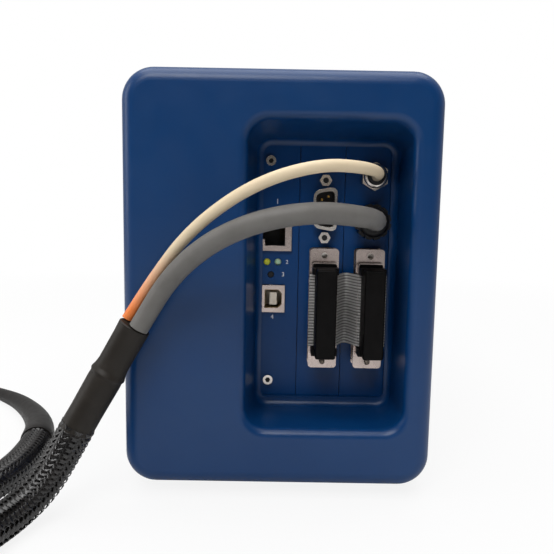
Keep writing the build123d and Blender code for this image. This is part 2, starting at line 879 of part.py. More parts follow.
def link_socket():
    """A flange on the panel's face with the D-shaped tower that the plug goes over."""
    with BuildPart() as socket:
        with BuildSketch(facing_front(panel_depth, z=link_z)):
            RectangleRounded(link_flange_width, link_flange_length, 1.5)
            with Locations((0, link_hole_spread / 2), (0, -link_hole_spread / 2)):
                Circle(jackscrew_hole_radius, mode=Mode.SUBTRACT)
        extrude(amount=link_flange_thick)
        with BuildSketch(facing_front(link_flange_front, z=link_z)):
            d_outline(link_shell_length, link_shell_width, d_corner)
        extrude(amount=link_shell_proud)
        with BuildSketch(facing_front(panel_depth, z=link_z)):
            Rectangle(link_shell_width, link_shell_length)
        extrude(amount=-link_body_back)
    return socket.part


def link_plug_shell():
    """The plug's flange, its D-shaped tube and the box that holds its body."""
    with BuildPart() as shell:
        with BuildSketch(facing_front(plug_flange_back, z=link_z)):
            RectangleRounded(link_flange_width, link_flange_length, 1.5)
        extrude(amount=link_flange_thick)
        with BuildSketch(facing_front(plug_flange_back, z=link_z)):
            d_outline(tube_inner_length + 2 * tube_wall, tube_inner_width + 2 * tube_wall, d_corner)
        extrude(amount=-(link_shell_proud - 0.2))
        with BuildSketch(facing_front(plug_flange_front, z=link_z)):
            RectangleRounded(plug_box_width, plug_box_length, 1.2)
        extrude(amount=plug_box_height)
        with BuildSketch(facing_front(plug_box_front, z=link_z)):
            RectangleRounded(plug_box_width - 2 * tube_wall, plug_box_length - 2 * tube_wall, 0.7)
        extrude(amount=-(plug_box_height + link_flange_thick / 2), mode=Mode.SUBTRACT)
        with BuildSketch(facing_front(plug_flange_front, z=link_z)):
            d_outline(tube_inner_length, tube_inner_width, d_corner - 0.4)
        extrude(amount=-(link_shell_proud + link_flange_thick + 1.0), mode=Mode.SUBTRACT)
        with BuildSketch(facing_front(plug_flange_front, z=link_z)):
            with Locations((0, link_hole_spread / 2), (0, -link_hole_spread / 2)):
                Circle(eyelet_radius)
        extrude(amount=0.35)
        with BuildSketch(facing_front(plug_flange_front - 0.35, z=link_z)):
            with Locations((0, link_hole_spread / 2), (0, -link_hole_spread / 2)):
                Circle(eyelet_radius - 0.45)
        extrude(amount=-3.0, mode=Mode.SUBTRACT)
    return shell.part


def link_plug_body():
    """The moulded body that grips the ribbon's wires."""
    with BuildPart() as body:
        with BuildSketch(facing_front(plug_box_front, z=link_z)):
            RectangleRounded(
                plug_box_width - 2 * tube_wall - fit_gap,
                plug_box_length - 2 * tube_wall - fit_gap,
                0.7,
            )
        extrude(amount=-(plug_box_height + link_flange_thick / 2 - fit_gap))
    return body.part


def link_plug_cover():
    """The strain relief bar over the ribbon, with a wider block at each end."""
    with BuildPart() as cover:
        with BuildSketch(facing_front(cover_back, z=link_z)):
            RectangleRounded(plug_cover_width, plug_cover_length, 1.0)
        extrude(amount=plug_cover_height)
        fillet(cover.faces().sort_by(Axis.Y)[0].edges(), 0.9)
        end_z = (plug_cover_length + ribbon_width) / 4 + fit_gap
        end_length = (plug_cover_length - ribbon_width) / 2 - 2 * fit_gap
        with BuildSketch(facing_front(plug_box_front, z=link_z)):
            with Locations((0, end_z), (0, -end_z)):
                Rectangle(cover_end_width, end_length)
        extrude(amount=plug_cover_height * 0.55)
    return cover.part


with BuildPart() as link_sockets:
    with Locations(*[(x, 0, 0) for x in connector_x]):
        add(link_socket())
save(link_sockets, "link_sockets")

with BuildPart() as link_plug_shells:
    with Locations(*[(x, 0, 0) for x in connector_x]):
        add(link_plug_shell())
save(link_plug_shells, "link_plug_shells")

with BuildPart() as link_plug_bodies:
    with Locations(*[(x, 0, 0) for x in connector_x]):
        add(link_plug_body())
save(link_plug_bodies, "link_plug_bodies")

with BuildPart() as link_plug_covers:
    with Locations(*[(x, 0, 0) for x in connector_x]):
        add(link_plug_cover())
save(link_plug_covers, "link_plug_covers")

# Jackscrews: one pair holds the serial port, two pairs hold the link sockets

serial_post = jackscrew(jackscrew_length, panel_thick + 2.0)
serial_post_seats = [
    facing_front(panel_depth, x=connector_x[0], z=serial_z + side * jackscrew_spread / 2)
    for side in (-1, 1)
]
link_post = jackscrew(link_shell_proud + 0.2, link_flange_thick + panel_thick + 1.5)
link_post_seats = [
    facing_front(link_flange_front, x=x, z=link_z + side * link_hole_spread / 2)
    for x in connector_x
    for side in (-1, 1)
]

with BuildPart() as jackscrews:
    with Locations(*[Location(seat) for seat in serial_post_seats]):
        add(serial_post)
    with Locations(*[Location(seat) for seat in link_post_seats]):
        add(link_post)
save(jackscrews, "jackscrews")

# Ribbon jumper: one flat band that dips between the plugs

dip_half = (connector_x[1] - connector_x[0]) / 2 - link_flange_width / 2 - ribbon_thick / 2 - 0.35
dip_x = (connector_x[0] + connector_x[1]) / 2
ribbon_start = connector_x[0] - plug_cover_width / 2 - ribbon_stub
ribbon_end = connector_x[1] + plug_cover_width / 2 + ribbon_stub
ribbon_y = front_y + ribbon_middle
shoulder_radius = 1.3
dip_radius = 2.6

with BuildPart() as ribbon_cable:
    with BuildLine(Plane.XY.offset(link_z - ribbon_width / 2)) as ribbon_path:
        FilletPolyline(
            (ribbon_start, ribbon_y),
            (dip_x - dip_half, ribbon_y),
            (dip_x - dip_half, ribbon_y + ribbon_dip),
            (dip_x + dip_half, ribbon_y + ribbon_dip),
            (dip_x + dip_half, ribbon_y),
            (ribbon_end, ribbon_y),
            radius=[shoulder_radius, dip_radius, dip_radius, shoulder_radius],
        )
    start_plane = Plane(
        origin=(ribbon_start, ribbon_y, link_z - ribbon_width / 2), x_dir=(0, 1, 0), z_dir=(1, 0, 0)
    )
    with BuildSketch(start_plane):
        Rectangle(ribbon_thick, ribbon_width, align=(Align.CENTER, Align.MIN))
    sweep(path=ribbon_path.line)
save(ribbon_cable, "ribbon_cable")

# Cable glands on the channel panel, each held by a nut behind it

hex_front = panel_depth - 10.3
hex_base = 3.0
gland_nut_thick = 2.4
round_front = panel_depth - 12.0
round_base = 3.2

with BuildPart() as hex_gland_body:
    with BuildSketch(facing_front(panel_depth, x=hex_gland_x, z=hex_gland_z)):
        RegularPolygon(hex_gland_across / 2, 6, rotation=hex_gland_turn)
    extrude(amount=hex_base)
    with BuildSketch(facing_front(panel_depth, x=hex_gland_x, z=hex_gland_z)):
        Circle(hex_gland_thread)
    extrude(amount=-(panel_thick + gland_nut_thick + 1.0))
    with BuildSketch(facing_front(panel_depth - hex_base, x=hex_gland_x, z=hex_gland_z)):
        Circle(beige_diameter / 2 + 0.2)
    extrude(amount=-30, mode=Mode.SUBTRACT)
save(hex_gland_body, "hex_gland_body")

with BuildPart() as hex_gland_cap:
    with BuildSketch(facing_front(panel_depth - hex_base, x=hex_gland_x, z=hex_gland_z)):
        RegularPolygon(hex_gland_across / 2, 6, rotation=hex_gland_turn)
    extrude(amount=(panel_depth - hex_base - hex_front) * 0.62)
    with BuildSketch(facing_front(panel_depth - hex_base, x=hex_gland_x, z=hex_gland_z)):
        Circle(hex_gland_across / 2 * 0.84)
    extrude(amount=panel_depth - hex_base - hex_front)
    fillet(hex_gland_cap.faces().sort_by(Axis.Y)[0].edges(), 1.4)
    with BuildSketch(facing_front(hex_front, x=hex_gland_x, z=hex_gland_z)):
        Circle(beige_diameter / 2 + shaft_play)
    extrude(amount=-30, mode=Mode.SUBTRACT)
save(hex_gland_cap, "hex_gland_cap")

with BuildPart() as round_gland_body:
    with BuildSketch(facing_front(panel_depth, x=round_gland_x, z=round_gland_z)):
        RegularPolygon(round_gland_radius, 6)
    extrude(amount=round_base)
    with BuildSketch(facing_front(panel_depth, x=round_gland_x, z=round_gland_z)):
        Circle(round_gland_thread)
    extrude(amount=-(panel_thick + gland_nut_thick + 1.0))
    with BuildSketch(facing_front(panel_depth - round_base, x=round_gland_x, z=round_gland_z)):
        Circle(grey_diameter / 2 + 0.2)
    extrude(amount=-30, mode=Mode.SUBTRACT)
save(round_gland_body, "round_gland_body")

gland_flutes = 12
flute_radius = 0.7

with BuildPart() as round_gland_cap:
    with BuildSketch(facing_front(panel_depth - round_base, x=round_gland_x, z=round_gland_z)):
        Circle(round_gland_radius)
        with PolarLocations(round_gland_radius, gland_flutes):
            Circle(flute_radius, mode=Mode.SUBTRACT)
    extrude(amount=(panel_depth - round_base - round_front) * 0.6)
    with BuildSketch(facing_front(panel_depth - round_base, x=round_gland_x, z=round_gland_z)):
        Circle(round_gland_radius * 0.84)
    extrude(amount=panel_depth - round_base - round_front)
    fillet(round_gland_cap.faces().sort_by(Axis.Y)[0].edges(), 2.2)
    with BuildSketch(facing_front(round_front, x=round_gland_x, z=round_gland_z)):
        Circle(grey_diameter / 2 + shaft_play)
    extrude(amount=-30, mode=Mode.SUBTRACT)
save(round_gland_cap, "round_gland_cap")

with BuildPart() as gland_locknuts:
    for x, z, thread, size in (
        (hex_gland_x, hex_gland_z, hex_gland_thread, hex_gland_across / 2),
        (round_gland_x, round_gland_z, round_gland_thread, round_gland_radius),
    ):
        with BuildSketch(facing_front(panel_back, x=x, z=z)):
            RegularPolygon(size, 6)
            Circle(thread + shaft_play, mode=Mode.SUBTRACT)
        extrude(amount=-gland_nut_thick)
save(gland_locknuts, "gland_locknuts")

# Circuit boards, standing upright with their parts on the right

board_low = floor_z + guide_height - groove_depth + groove_play
board_high = roof_z - guide_height + groove_depth - groove_play
board_span = board_high - board_low
board_middle_z = (board_low + board_high) / 2
chip_thick = 2.0
# Each chip: depth, height above the table, length and height of its body
chip_rows = (
    (70.0, 60.0, 16.0, 16.0),
    (70.0, 95.0, 12.0, 20.0),
    (110.0, 60.0, 10.0, 18.0),
    (110.0, 120.0, 22.0, 22.0),
)
capacitor_radius = 4.0
capacitor_height = 11.0
capacitor_places = ((150.0, 60.0), (150.0, 75.0), (150.0, 130.0))
edge_tongue = 5.0
backplane_depth = board_start + board_length + 4.0


def board(x):
    """A board with its chips and capacitors soldered on, and an edge tongue at the back."""
    with BuildPart() as circuit:
        with BuildSketch(Plane.YZ.offset(x)):
            with Locations((front_y + board_start + board_length / 2, board_middle_z)):
                Rectangle(board_length, board_span)
        extrude(amount=board_thick)
        with BuildSketch(Plane.YZ.offset(x + board_thick)):
            for depth, z, length, height in chip_rows:
                with Locations((front_y + depth, z)):
                    Rectangle(length, height)
        extrude(amount=chip_thick)
        with BuildSketch(Plane.YZ.offset(x + board_thick)):
            with Locations(*[(front_y + depth, z) for depth, z in capacitor_places]):
                Circle(capacitor_radius)
        extrude(amount=capacitor_height)
    return circuit


for name, x in zip(("controller_board", "auxiliary_board", "channel_board"), board_x):
    save(board(x), name)

# Card rails on the floor and under the roof

with BuildPart() as card_guides:
    for x in board_x:
        for base, top in ((floor_z, floor_z + guide_height), (roof_z - guide_height, roof_z)):
            with BuildSketch(facing_front(guide_start, x=x + board_thick / 2)):
                with Locations((0, base)):
                    Rectangle(guide_width, guide_height, align=(Align.CENTER, Align.MIN))
            extrude(amount=-guide_length)
    for x in board_x:
        with BuildSketch(facing_front(guide_start, x=x + board_thick / 2, z=board_middle_z)):
            Rectangle(board_thick + 2 * groove_play, board_span + 2 * groove_play)
        extrude(amount=-guide_length, mode=Mode.SUBTRACT)
save(card_guides, "card_guides")

# Backplane with one edge socket for each board, on a folded bracket

socket_body_width = 8.0
socket_body_height = 90.0
socket_body_depth = 9.0
backplane_z = floor_z + 14.0 + backplane_height / 2
bracket_foot = 14.0

with BuildPart() as backplane:
    with BuildSketch(facing_front(backplane_depth, x=backplane_x, z=backplane_z)):
        Rectangle(backplane_width, backplane_height)
    extrude(amount=-board_thick)
    with BuildSketch(facing_front(backplane_depth, z=board_middle_z)):
        with Locations(*[(x + board_thick / 2, 0) for x in board_x]):
            Rectangle(socket_body_width, socket_body_height)
    extrude(amount=socket_body_depth)
    with BuildSketch(facing_front(backplane_depth - socket_body_depth, z=board_middle_z)):
        with Locations(*[(x + board_thick / 2, 0) for x in board_x]):
            Rectangle(board_thick + 2 * groove_play, socket_body_height + 4.0)
    extrude(amount=-(socket_body_depth - 3.0), mode=Mode.SUBTRACT)
save(backplane, "backplane")

with BuildPart() as backplane_bracket:
    with BuildSketch(facing_front(backplane_depth + board_thick, x=backplane_x)):
        with Locations((0, floor_z)):
            Rectangle(backplane_width, backplane_height * 0.5, align=(Align.CENTER, Align.MIN))
    extrude(amount=-sheet)
    with BuildSketch(Plane.XY.offset(floor_z)):
        with Locations((backplane_x, front_y + backplane_depth + board_thick)):
            Rectangle(backplane_width, bracket_foot, align=(Align.CENTER, Align.MIN))
    extrude(amount=sheet)
    with BuildSketch(facing_front(backplane_depth + board_thick, x=backplane_x, z=floor_z + 30.0)):
        SlotOverall(backplane_width * 0.6, 12.0)
    extrude(amount=-sheet, mode=Mode.SUBTRACT)
save(backplane_bracket, "backplane_bracket")

# Power supply: an enclosed unit standing on the floor beside the cards

supply_x = -inner_half + seat_gap + supply_width / 2
supply_vents = 8
supply_vent_pitch = 14.0

with BuildPart() as power_supply:
    with BuildSketch(facing_front(supply_start, x=supply_x, z=floor_z)):
        Rectangle(supply_width, supply_height, align=(Align.CENTER, Align.MIN))
    extrude(amount=-supply_length)
    fillet(power_supply.edges().filter_by(Axis.Y).group_by(Axis.Z)[-1], bend_radius)
    fillet(power_supply.edges().filter_by(Axis.Y).group_by(Axis.Z)[0], case_corner)
    with BuildSketch(Plane.YZ.offset(supply_x + supply_width / 2)):
        with Locations((front_y + supply_start + supply_length / 2, floor_z + supply_height / 2)):
            with GridLocations(supply_vent_pitch, 1, supply_vents, 1):
                Rectangle(vent_width * 2, supply_height * 0.5)
    extrude(amount=-3.0, mode=Mode.SUBTRACT)
    rear_block_z = floor_z + supply_height * 0.3
    with BuildSketch(facing_front(supply_start + supply_length, x=supply_x, z=rear_block_z)):
        Rectangle(supply_width * 0.8, 16.0)
    extrude(amount=-8.0)
save(power_supply, "power_supply")

# Inlet module: socket, fuse drawer and rocker in one moulded body

inlet_front = rear_face + inlet_flange
pin_length = 12.0
pivot_radius = 1.0
pivot_reach = 1.5
pivot_depth = rear_face + inlet_flange - 2.0
socket_chamfer = 4.0

with BuildPart() as power_inlet:
    with BuildSketch(facing_rear(rear_face, x=inlet_x, z=inlet_z)):
        RectangleRounded(
            inlet_width + 2 * inlet_flange_margin, inlet_height + 2 * inlet_flange_margin, 2.5
        )
    extrude(amount=inlet_flange)
    fillet(power_inlet.faces().sort_by(Axis.Y)[-1].edges(), 0.8)
    with BuildSketch(facing_rear(rear_face, x=inlet_x, z=inlet_z)):
        Rectangle(inlet_width, inlet_height)
    extrude(amount=-inlet_body_depth)
    with BuildSketch(facing_rear(inlet_front, x=inlet_x, z=socket_z)):
        opening = Rectangle(socket_width, socket_height)
        chamfer(opening.vertices().group_by(Axis.Y)[-1], socket_chamfer)
    extrude(amount=-socket_depth, mode=Mode.SUBTRACT)
    with BuildSketch(facing_rear(inlet_front - socket_depth, x=inlet_x, z=socket_z)):
        with Locations((-7.0, -1.5), (0, 2.5), (7.0, -1.5)):
            Rectangle(2.0, 4.0)
    extrude(amount=pin_length)
    with BuildSketch(facing_rear(inlet_front, x=inlet_x, z=drawer_z)):
        Rectangle(drawer_width, drawer_height)
    extrude(amount=-(drawer_depth + 1.0), mode=Mode.SUBTRACT)
    with BuildSketch(facing_rear(inlet_front, x=inlet_x, z=rocker_z)):
        Rectangle(rocker_width, 2 * (rocker_radius + rocker_play))
    extrude(amount=-(rocker_radius + 3.0), mode=Mode.SUBTRACT)
    with BuildSketch(Plane.YZ.offset(inlet_x)):
        with Locations((front_y + pivot_depth, rocker_z)):
            Circle(pivot_radius + shaft_play)
    extrude(amount=rocker_width / 2 + pivot_reach + 0.1, both=True, mode=Mode.SUBTRACT)
save(power_inlet, "power_inlet")

rocker_face = 3.6
rocker_side_gap = 0.2

with BuildPart() as power_rocker:
    # The sketch turns with the rocker, which rests tilted with one half pressed in
    with BuildSketch(turned_plane(inlet_x, pivot_depth, rocker_z, rocker_tilt)):
        Circle(rocker_radius)
        with Locations((-rocker_radius - 1.5, 0)):
            Rectangle(rocker_radius * 1.2, rocker_radius * 2, mode=Mode.SUBTRACT)
        for turn in (-1, 1):
            cut_x = rocker_face * math.cos(math.radians(rocker_tilt))
            cut_y = turn * rocker_face * math.sin(math.radians(rocker_tilt))
            with Locations(Location((cut_x, cut_y, 0), (0, 0, turn * rocker_tilt))):
                Rectangle(
                    rocker_radius * 2,
                    rocker_radius * 2,
                    align=(Align.MIN, Align.MIN if turn > 0 else Align.MAX),
                    mode=Mode.SUBTRACT,
                )
    extrude(amount=rocker_width / 2 - rocker_side_gap, both=True)
    with BuildSketch(Plane.YZ.offset(inlet_x)):
        with Locations((front_y + pivot_depth, rocker_z)):
            Circle(pivot_radius)
    extrude(amount=rocker_width / 2 + pivot_reach, both=True)
save(power_rocker, "power_rocker")

# Fuse drawer with its fuse lying across it

drawer_inner_depth = drawer_depth - 1.5
fuse_depth = inlet_front - drawer_inner_depth / 2 - 1.0

with BuildPart() as fuse_drawer:
    with BuildSketch(facing_rear(inlet_front + 0.6, x=inlet_x, z=drawer_z)):
        Rectangle(drawer_width - 2 * drawer_play, drawer_height - 2 * drawer_play)
    extrude(amount=-(drawer_depth + 0.6))
    with BuildSketch(Plane.YZ.offset(inlet_x)):
        with Locations((front_y + fuse_depth, drawer_z)):
            Circle(fuse_radius + shaft_play)
        with Locations((front_y + fuse_depth, drawer_z)):
            Rectangle(2 * (fuse_radius + shaft_play), drawer_height, align=(Align.CENTER, Align.MIN))
    extrude(amount=fuse_length / 2 + drawer_play, both=True, mode=Mode.SUBTRACT)
    with BuildSketch(facing_rear(inlet_front + 0.6, x=inlet_x, z=drawer_z + drawer_height / 2)):
        Rectangle(8.0, 2.0)
    extrude(amount=-0.8, mode=Mode.SUBTRACT)
save(fuse_drawer, "fuse_drawer")

with BuildPart() as fuse:
    with BuildSketch(Plane.YZ.offset(inlet_x)):
        with Locations((front_y + fuse_depth, drawer_z)):
            Circle(fuse_radius)
    extrude(amount=fuse_length / 2, both=True)
save(fuse, "fuse")

# Fan: a square frame with a duct and a motor mount, and a rotor of seven blades

fan_back = rear_inside
fan_front = fan_back - fan_depth
mount_thick = 3.0
strut_width = 3.0
fan_corner = 3.0

with BuildPart() as fan_frame:
    with BuildSketch(facing_front(fan_front, x=fan_x, z=fan_z)):
        RectangleRounded(fan_size - 0.2, fan_size - 0.2, fan_corner)
        Circle(fan_duct_radius, mode=Mode.SUBTRACT)
        with GridLocations(fan_hole_spread, fan_hole_spread, 2, 2):
            Circle(screw_radius + shaft_play, mode=Mode.SUBTRACT)
    extrude(amount=-fan_depth)
    with BuildSketch(facing_front(fan_front, x=fan_x, z=fan_z)):
        Circle(fan_hub_radius)
        Rectangle(strut_width, 2 * fan_duct_radius + 1.0, rotation=45)
        Rectangle(strut_width, 2 * fan_duct_radius + 1.0, rotation=-45)
        Circle(fan_shaft_radius + shaft_play, mode=Mode.SUBTRACT)
    extrude(amount=-mount_thick)
save(fan_frame, "fan_frame")

hub_front = fan_front + mount_thick + 0.3
hub_length = fan_depth - mount_thick - 1.3
root_pitch = 48.0
tip_pitch = 62.0
blade_chord = 11.5
blade_thick = 1.4


def blade_plane(radius, pitch):
    """Across the first blade at one radius, turned to its pitch."""
    return turned_plane(fan_x + radius, hub_front + hub_length / 2, fan_z, pitch)


with BuildPart() as blade:
    for radius, pitch in ((fan_hub_radius - 1.0, root_pitch), (fan_blade_radius, tip_pitch)):
        with BuildSketch(blade_plane(radius, pitch)):
            RectangleRounded(blade_chord, blade_thick, blade_thick * 0.4)
    loft()

fan_axis = Axis(in_front(fan_x, 0, fan_z), (0, 1, 0))

with BuildPart() as fan_rotor:
    with BuildSketch(facing_front(hub_front, x=fan_x, z=fan_z)):
        Circle(fan_hub_radius)
    extrude(amount=-hub_length)
    fillet(fan_rotor.faces().sort_by(Axis.Y)[-1].edges(), 1.5)
    for number in range(fan_blades):
        add(blade.part.rotate(fan_axis, number * 360 / fan_blades))
    with BuildSketch(facing_front(hub_front, x=fan_x, z=fan_z)):
        Circle(fan_shaft_radius)
    extrude(amount=mount_thick - 0.2)
save(fan_rotor, "fan_rotor")

# Earth terminal: a metal socket with a plastic collar and a nut inside

collar_height = 4.0
terminal_radius = 3.9

with BuildPart() as earth_terminal:
    with BuildSketch(facing_rear(rear_face, x=terminal_x, z=terminal_z)):
        Circle(6.5)
    extrude(amount=collar_height)
    fillet(earth_terminal.faces().sort_by(Axis.Y)[-1].edges(), 1.0)
    with BuildSketch(facing_rear(rear_face, x=terminal_x, z=terminal_z)):
        Circle(terminal_radius)
    extrude(amount=terminal_reach)
    with BuildSketch(facing_rear(rear_face, x=terminal_x, z=terminal_z)):
        Circle(terminal_radius)
    extrude(amount=-10.0)
    with BuildSketch(facing_rear(rear_inside, x=terminal_x, z=terminal_z)):
        RegularPolygon(6.2, 6)
    extrude(amount=-3.0)
    with BuildSketch(facing_rear(total_depth, x=terminal_x, z=terminal_z)):
        Circle(terminal_bore)
    extrude(amount=-15.0, mode=Mode.SUBTRACT)
save(earth_terminal, "earth_terminal")

# Cables: each route is a list of points chosen by hand, as depth behind the bezel's face

grey_route = [
    (40.0, 25.0, 114.6),
    (40.0, 15.0, 114.6),
    (36.2, -7.0, 116.4),
    (27.5, -22.0, 117.8),
    (12.4, -31.2, 119.2),
    (-5.3, -32.0, 116.6),
    (-21.0, -27.3, 110.3),
    (-33.8, -20.0, 101.2),
    (-43.8, -12.8, 90.4),
    (-50.6, -10.6, 79.4),
    (-54.2, -11.0, 73.3),
]
beige_route = [
    (40.3, 26.0, 134.2),
    (40.3, 15.0, 134.2),
    (36.2, -6.0, 134.6),
    (28.2, -21.5, 135.1),
    (13.6, -31.0, 135.2),
    (-4.0, -31.8, 130.6),
    (-20.0, -26.6, 121.9),
    (-35.5, -17.5, 109.2),
    (-48.2, -8.0, 93.4),
    (-55.6, -6.0, 82.4),
    (-59.4, -7.0, 76.2),
]
sleeve_route = [
    (-57.2, -9.2, 74.2),
    (-66.6, -8.6, 55.6),
    (-77.8, -11.6, 34.6),
]
lead_in_route = [
    (-77.8, -11.6, 34.6),
    (-84.2, -13.3, 22.6),
    (-89.8, -18.6, 12.6),
    (-96.4, -28.4, 7.0),
    (-101.4, -44.0, 7.0),
    (-106.6, -63.0, 7.0),
    (-111.4, -84.0, 7.0),
    (-115.4, -106.0, 7.0),
]
tail_route = [
    (-166.0, -57.2, 16.5),
    (-153.0, -53.6, 13.8),
    (-138.0, -43.6, 10.6),
    (-123.8, -27.4, 8.0),
    (-113.4, -3.7, 7.0),
    (-110.8, 20.0, 7.0),
    (-111.4, 41.0, 7.2),
]
breakout_route = [
    (-111.4, 41.0, 7.2),
    (-118.4, 56.0, 6.2),
    (-133.5, 77.5, 5.0),
    (-150.0, 98.0, 3.9),
    (-170.5, 119.5, 2.9),
]
breakout_radii = (7.5, 6.4, 5.1, 4.0, 2.9)
lead_routes = [
    [
        (-171.0, 119.7, 4.2),
        (-178.0, 127.5, 2.2),
        (-192.0, 139.0, 1.1),
        (-212.0, 144.0, 1.1),
        (-232.0, 139.0, 1.1),
        (-247.0, 124.0, 1.1),
        (-254.0, 104.0, 1.1),
        (-256.0, 88.0, 3.0),
    ],
    [
        (-172.0, 118.8, 1.7),
        (-180.5, 124.0, 1.1),
        (-196.0, 130.5, 1.1),
        (-214.0, 129.0, 1.1),
        (-228.0, 117.0, 1.1),
        (-235.5, 99.0, 1.1),
        (-237.5, 80.0, 1.1),
        (-238.5, 64.0, 3.0),
    ],
    [
        (-169.8, 120.9, 1.7),
        (-176.0, 131.5, 1.1),
        (-189.0, 146.0, 1.1),
        (-207.0, 157.0, 1.1),
        (-229.0, 158.5, 1.1),
        (-249.0, 149.5, 1.1),
        (-264.0, 134.0, 1.1),
        (-271.5, 118.5, 3.0),
    ],
]


def cable(route, diameter, name):
    """A plain tube of straight runs joined by arcs as large as the runs allow."""
    points = [Vector(in_front(*place)) for place in route]
    radii = []
    for before, corner, after in zip(points, points[1:], points[2:]):
        turn = (corner - before).get_angle(after - corner)
        shorter = min((corner - before).length, (after - corner).length)
        radii.append(0.45 * shorter / math.tan(math.radians(turn) / 2))
    with BuildPart() as tube:
        with BuildLine() as path:
            FilletPolyline(*points, radius=radii)
        start = points[0]
        with BuildSketch(Plane(origin=start, z_dir=points[1] - start)):
            Circle(diameter / 2)
        sweep(path=path.line)
    section = math.pi * diameter**2 / 4
    length = path.wires()[0].length
    print(name, "length", round(length, 1), "radii", [round(radius) for radius in radii])
    print(name, "volume", round(tube.part.volume, 1), "against", round(section * length, 1))
    return tube


save(cable(grey_route, grey_diameter, "grey_cable"), "grey_cable")
save(cable(beige_route, beige_diameter, "beige_cable"), "beige_cable")
save(cable(sleeve_route, sleeve_diameter, "heat_shrink_sleeve"), "heat_shrink_sleeve")
save(cable(lead_in_route, braid_diameter, "braid_lead_in"), "braid_lead_in")
save(cable(tail_route, braid_diameter, "braid_tail"), "braid_tail")
for number, route in enumerate(lead_routes, start=1):
    save(cable(route, lead_diameter, f"lead_{number}"), f"lead_{number}")

# The coil of the braid that is put away: two turns, one on the other

with BuildPart() as braid_coil:
    with BuildSketch(Plane.XZ.offset(-(front_y + coil_y))):
        with Locations((coil_x + coil_radius, braid_diameter)):
            RectangleRounded(braid_diameter, 2 * braid_diameter, braid_diameter / 2 - 0.1)
    revolve(axis=Axis((coil_x, front_y + coil_y, 0), (0, 0, 1)))
save(braid_coil, "braid_coil")

# The tapering sleeve where the braid divides into three leads

with BuildPart() as breakout_sleeve:
    breakout_points = [Vector(in_front(*place)) for place in breakout_route]
    tail_last_run_start = Vector(in_front(*tail_route[-2]))
    for number, (point, radius) in enumerate(zip(breakout_points, breakout_radii)):
        # The mouth is square to the braid's end, and each later section to the sleeve's line
        before = breakout_points[number - 1] if number else tail_last_run_start
        after = breakout_points[min(number + 1, len(breakout_points) - 1)] if number else point
        with BuildSketch(Plane(origin=point, z_dir=after - before)):
            Circle(radius)
    loft()
save(breakout_sleeve, "breakout_sleeve")

# A slim plug on each lead

plug_radius = 3.0
plug_length = 24.0
plug_gap = 0.2
plug_pin_radius = 1.0
plug_pin_length = 12.0

with BuildPart() as lead_plugs:
    for route in lead_routes:
        before, end = [Vector(in_front(*place)) for place in route[-2:]]
        along = Vector(end.X - before.X, end.Y - before.Y, 0).normalized()
        plug_plane = Plane(origin=end + along * plug_gap, z_dir=along)
        with BuildSketch(plug_plane):
            Circle(plug_radius * 0.62)
        with BuildSketch(plug_plane.offset(plug_length * 0.3)):
            Circle(plug_radius)
        loft()
        with BuildSketch(plug_plane.offset(plug_length * 0.3)):
            Circle(plug_radius)
        extrude(amount=plug_length * 0.7)
        with BuildSketch(plug_plane.offset(plug_length)):
            Circle(plug_pin_radius)
        extrude(amount=plug_pin_length)
save(lead_plugs, "lead_plugs")
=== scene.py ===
"""The potentiostat's visual model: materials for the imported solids, the cables, ribbon and other
soft pieces that take the place of plain solids, and thin details over the solids. The frame is the
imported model's own: X to the right, Y towards the back, Z up."""

import math

import bpy
from mathutils import Matrix, Vector


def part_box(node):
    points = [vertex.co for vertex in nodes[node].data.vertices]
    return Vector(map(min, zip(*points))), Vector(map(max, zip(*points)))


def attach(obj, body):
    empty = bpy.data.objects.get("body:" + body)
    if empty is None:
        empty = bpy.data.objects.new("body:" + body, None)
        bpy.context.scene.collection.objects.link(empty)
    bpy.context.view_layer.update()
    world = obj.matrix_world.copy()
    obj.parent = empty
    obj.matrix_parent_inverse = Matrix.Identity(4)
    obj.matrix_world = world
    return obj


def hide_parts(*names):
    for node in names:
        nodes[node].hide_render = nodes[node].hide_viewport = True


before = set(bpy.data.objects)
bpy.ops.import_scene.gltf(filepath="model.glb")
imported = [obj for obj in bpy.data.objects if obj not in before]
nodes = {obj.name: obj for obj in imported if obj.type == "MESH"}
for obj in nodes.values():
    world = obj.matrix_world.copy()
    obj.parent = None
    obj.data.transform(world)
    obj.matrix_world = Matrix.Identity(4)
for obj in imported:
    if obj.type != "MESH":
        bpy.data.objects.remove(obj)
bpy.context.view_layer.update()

# Sizes that the pieces share, in metres; the panels' depth behind the bezel's face is in millimetres

MM = 0.001
FRONT_Y = -0.150
PANEL_DEPTH = 32.3

GREY_DIAMETER = 7.8 * MM
CREAM_DIAMETER = 4.5 * MM
BRAID_DIAMETER = 14.0 * MM
LEAD_DIAMETER = 2.2 * MM


def place(x, depth, z):
    """A point given in millimetres: across, behind the bezel's face, and above the table."""
    return Vector((x * MM, FRONT_Y + depth * MM, z * MM))


def srgb(red, green, blue):
    """A colour written as a screen shows it, from 0 to 255, turned into linear light."""
    linear = []
    for level in (red, green, blue):
        share = level / 255.0
        linear.append(share / 12.92 if share <= 0.04045 else ((share + 0.055) / 1.055) ** 2.4)
    return (*linear, 1.0)


# Camera, fitted to the connectors of standard size in the photograph

FOCAL_PIXELS = 600.0
PICTURE_PIXELS = 554.0
SENSOR_WIDTH = 36.0
PITCH = math.radians(6.88)
YAW = math.radians(0.18)
ROLL = math.radians(-1.02)

forward = Vector((math.sin(YAW) * math.cos(PITCH), math.cos(YAW) * math.cos(PITCH), -math.sin(PITCH)))
level_right = Vector((math.cos(YAW), -math.sin(YAW), 0.0))
level_down = forward.cross(level_right)
picture_right = level_right * math.cos(ROLL) + level_down * math.sin(ROLL)
picture_down = level_down * math.cos(ROLL) - level_right * math.sin(ROLL)

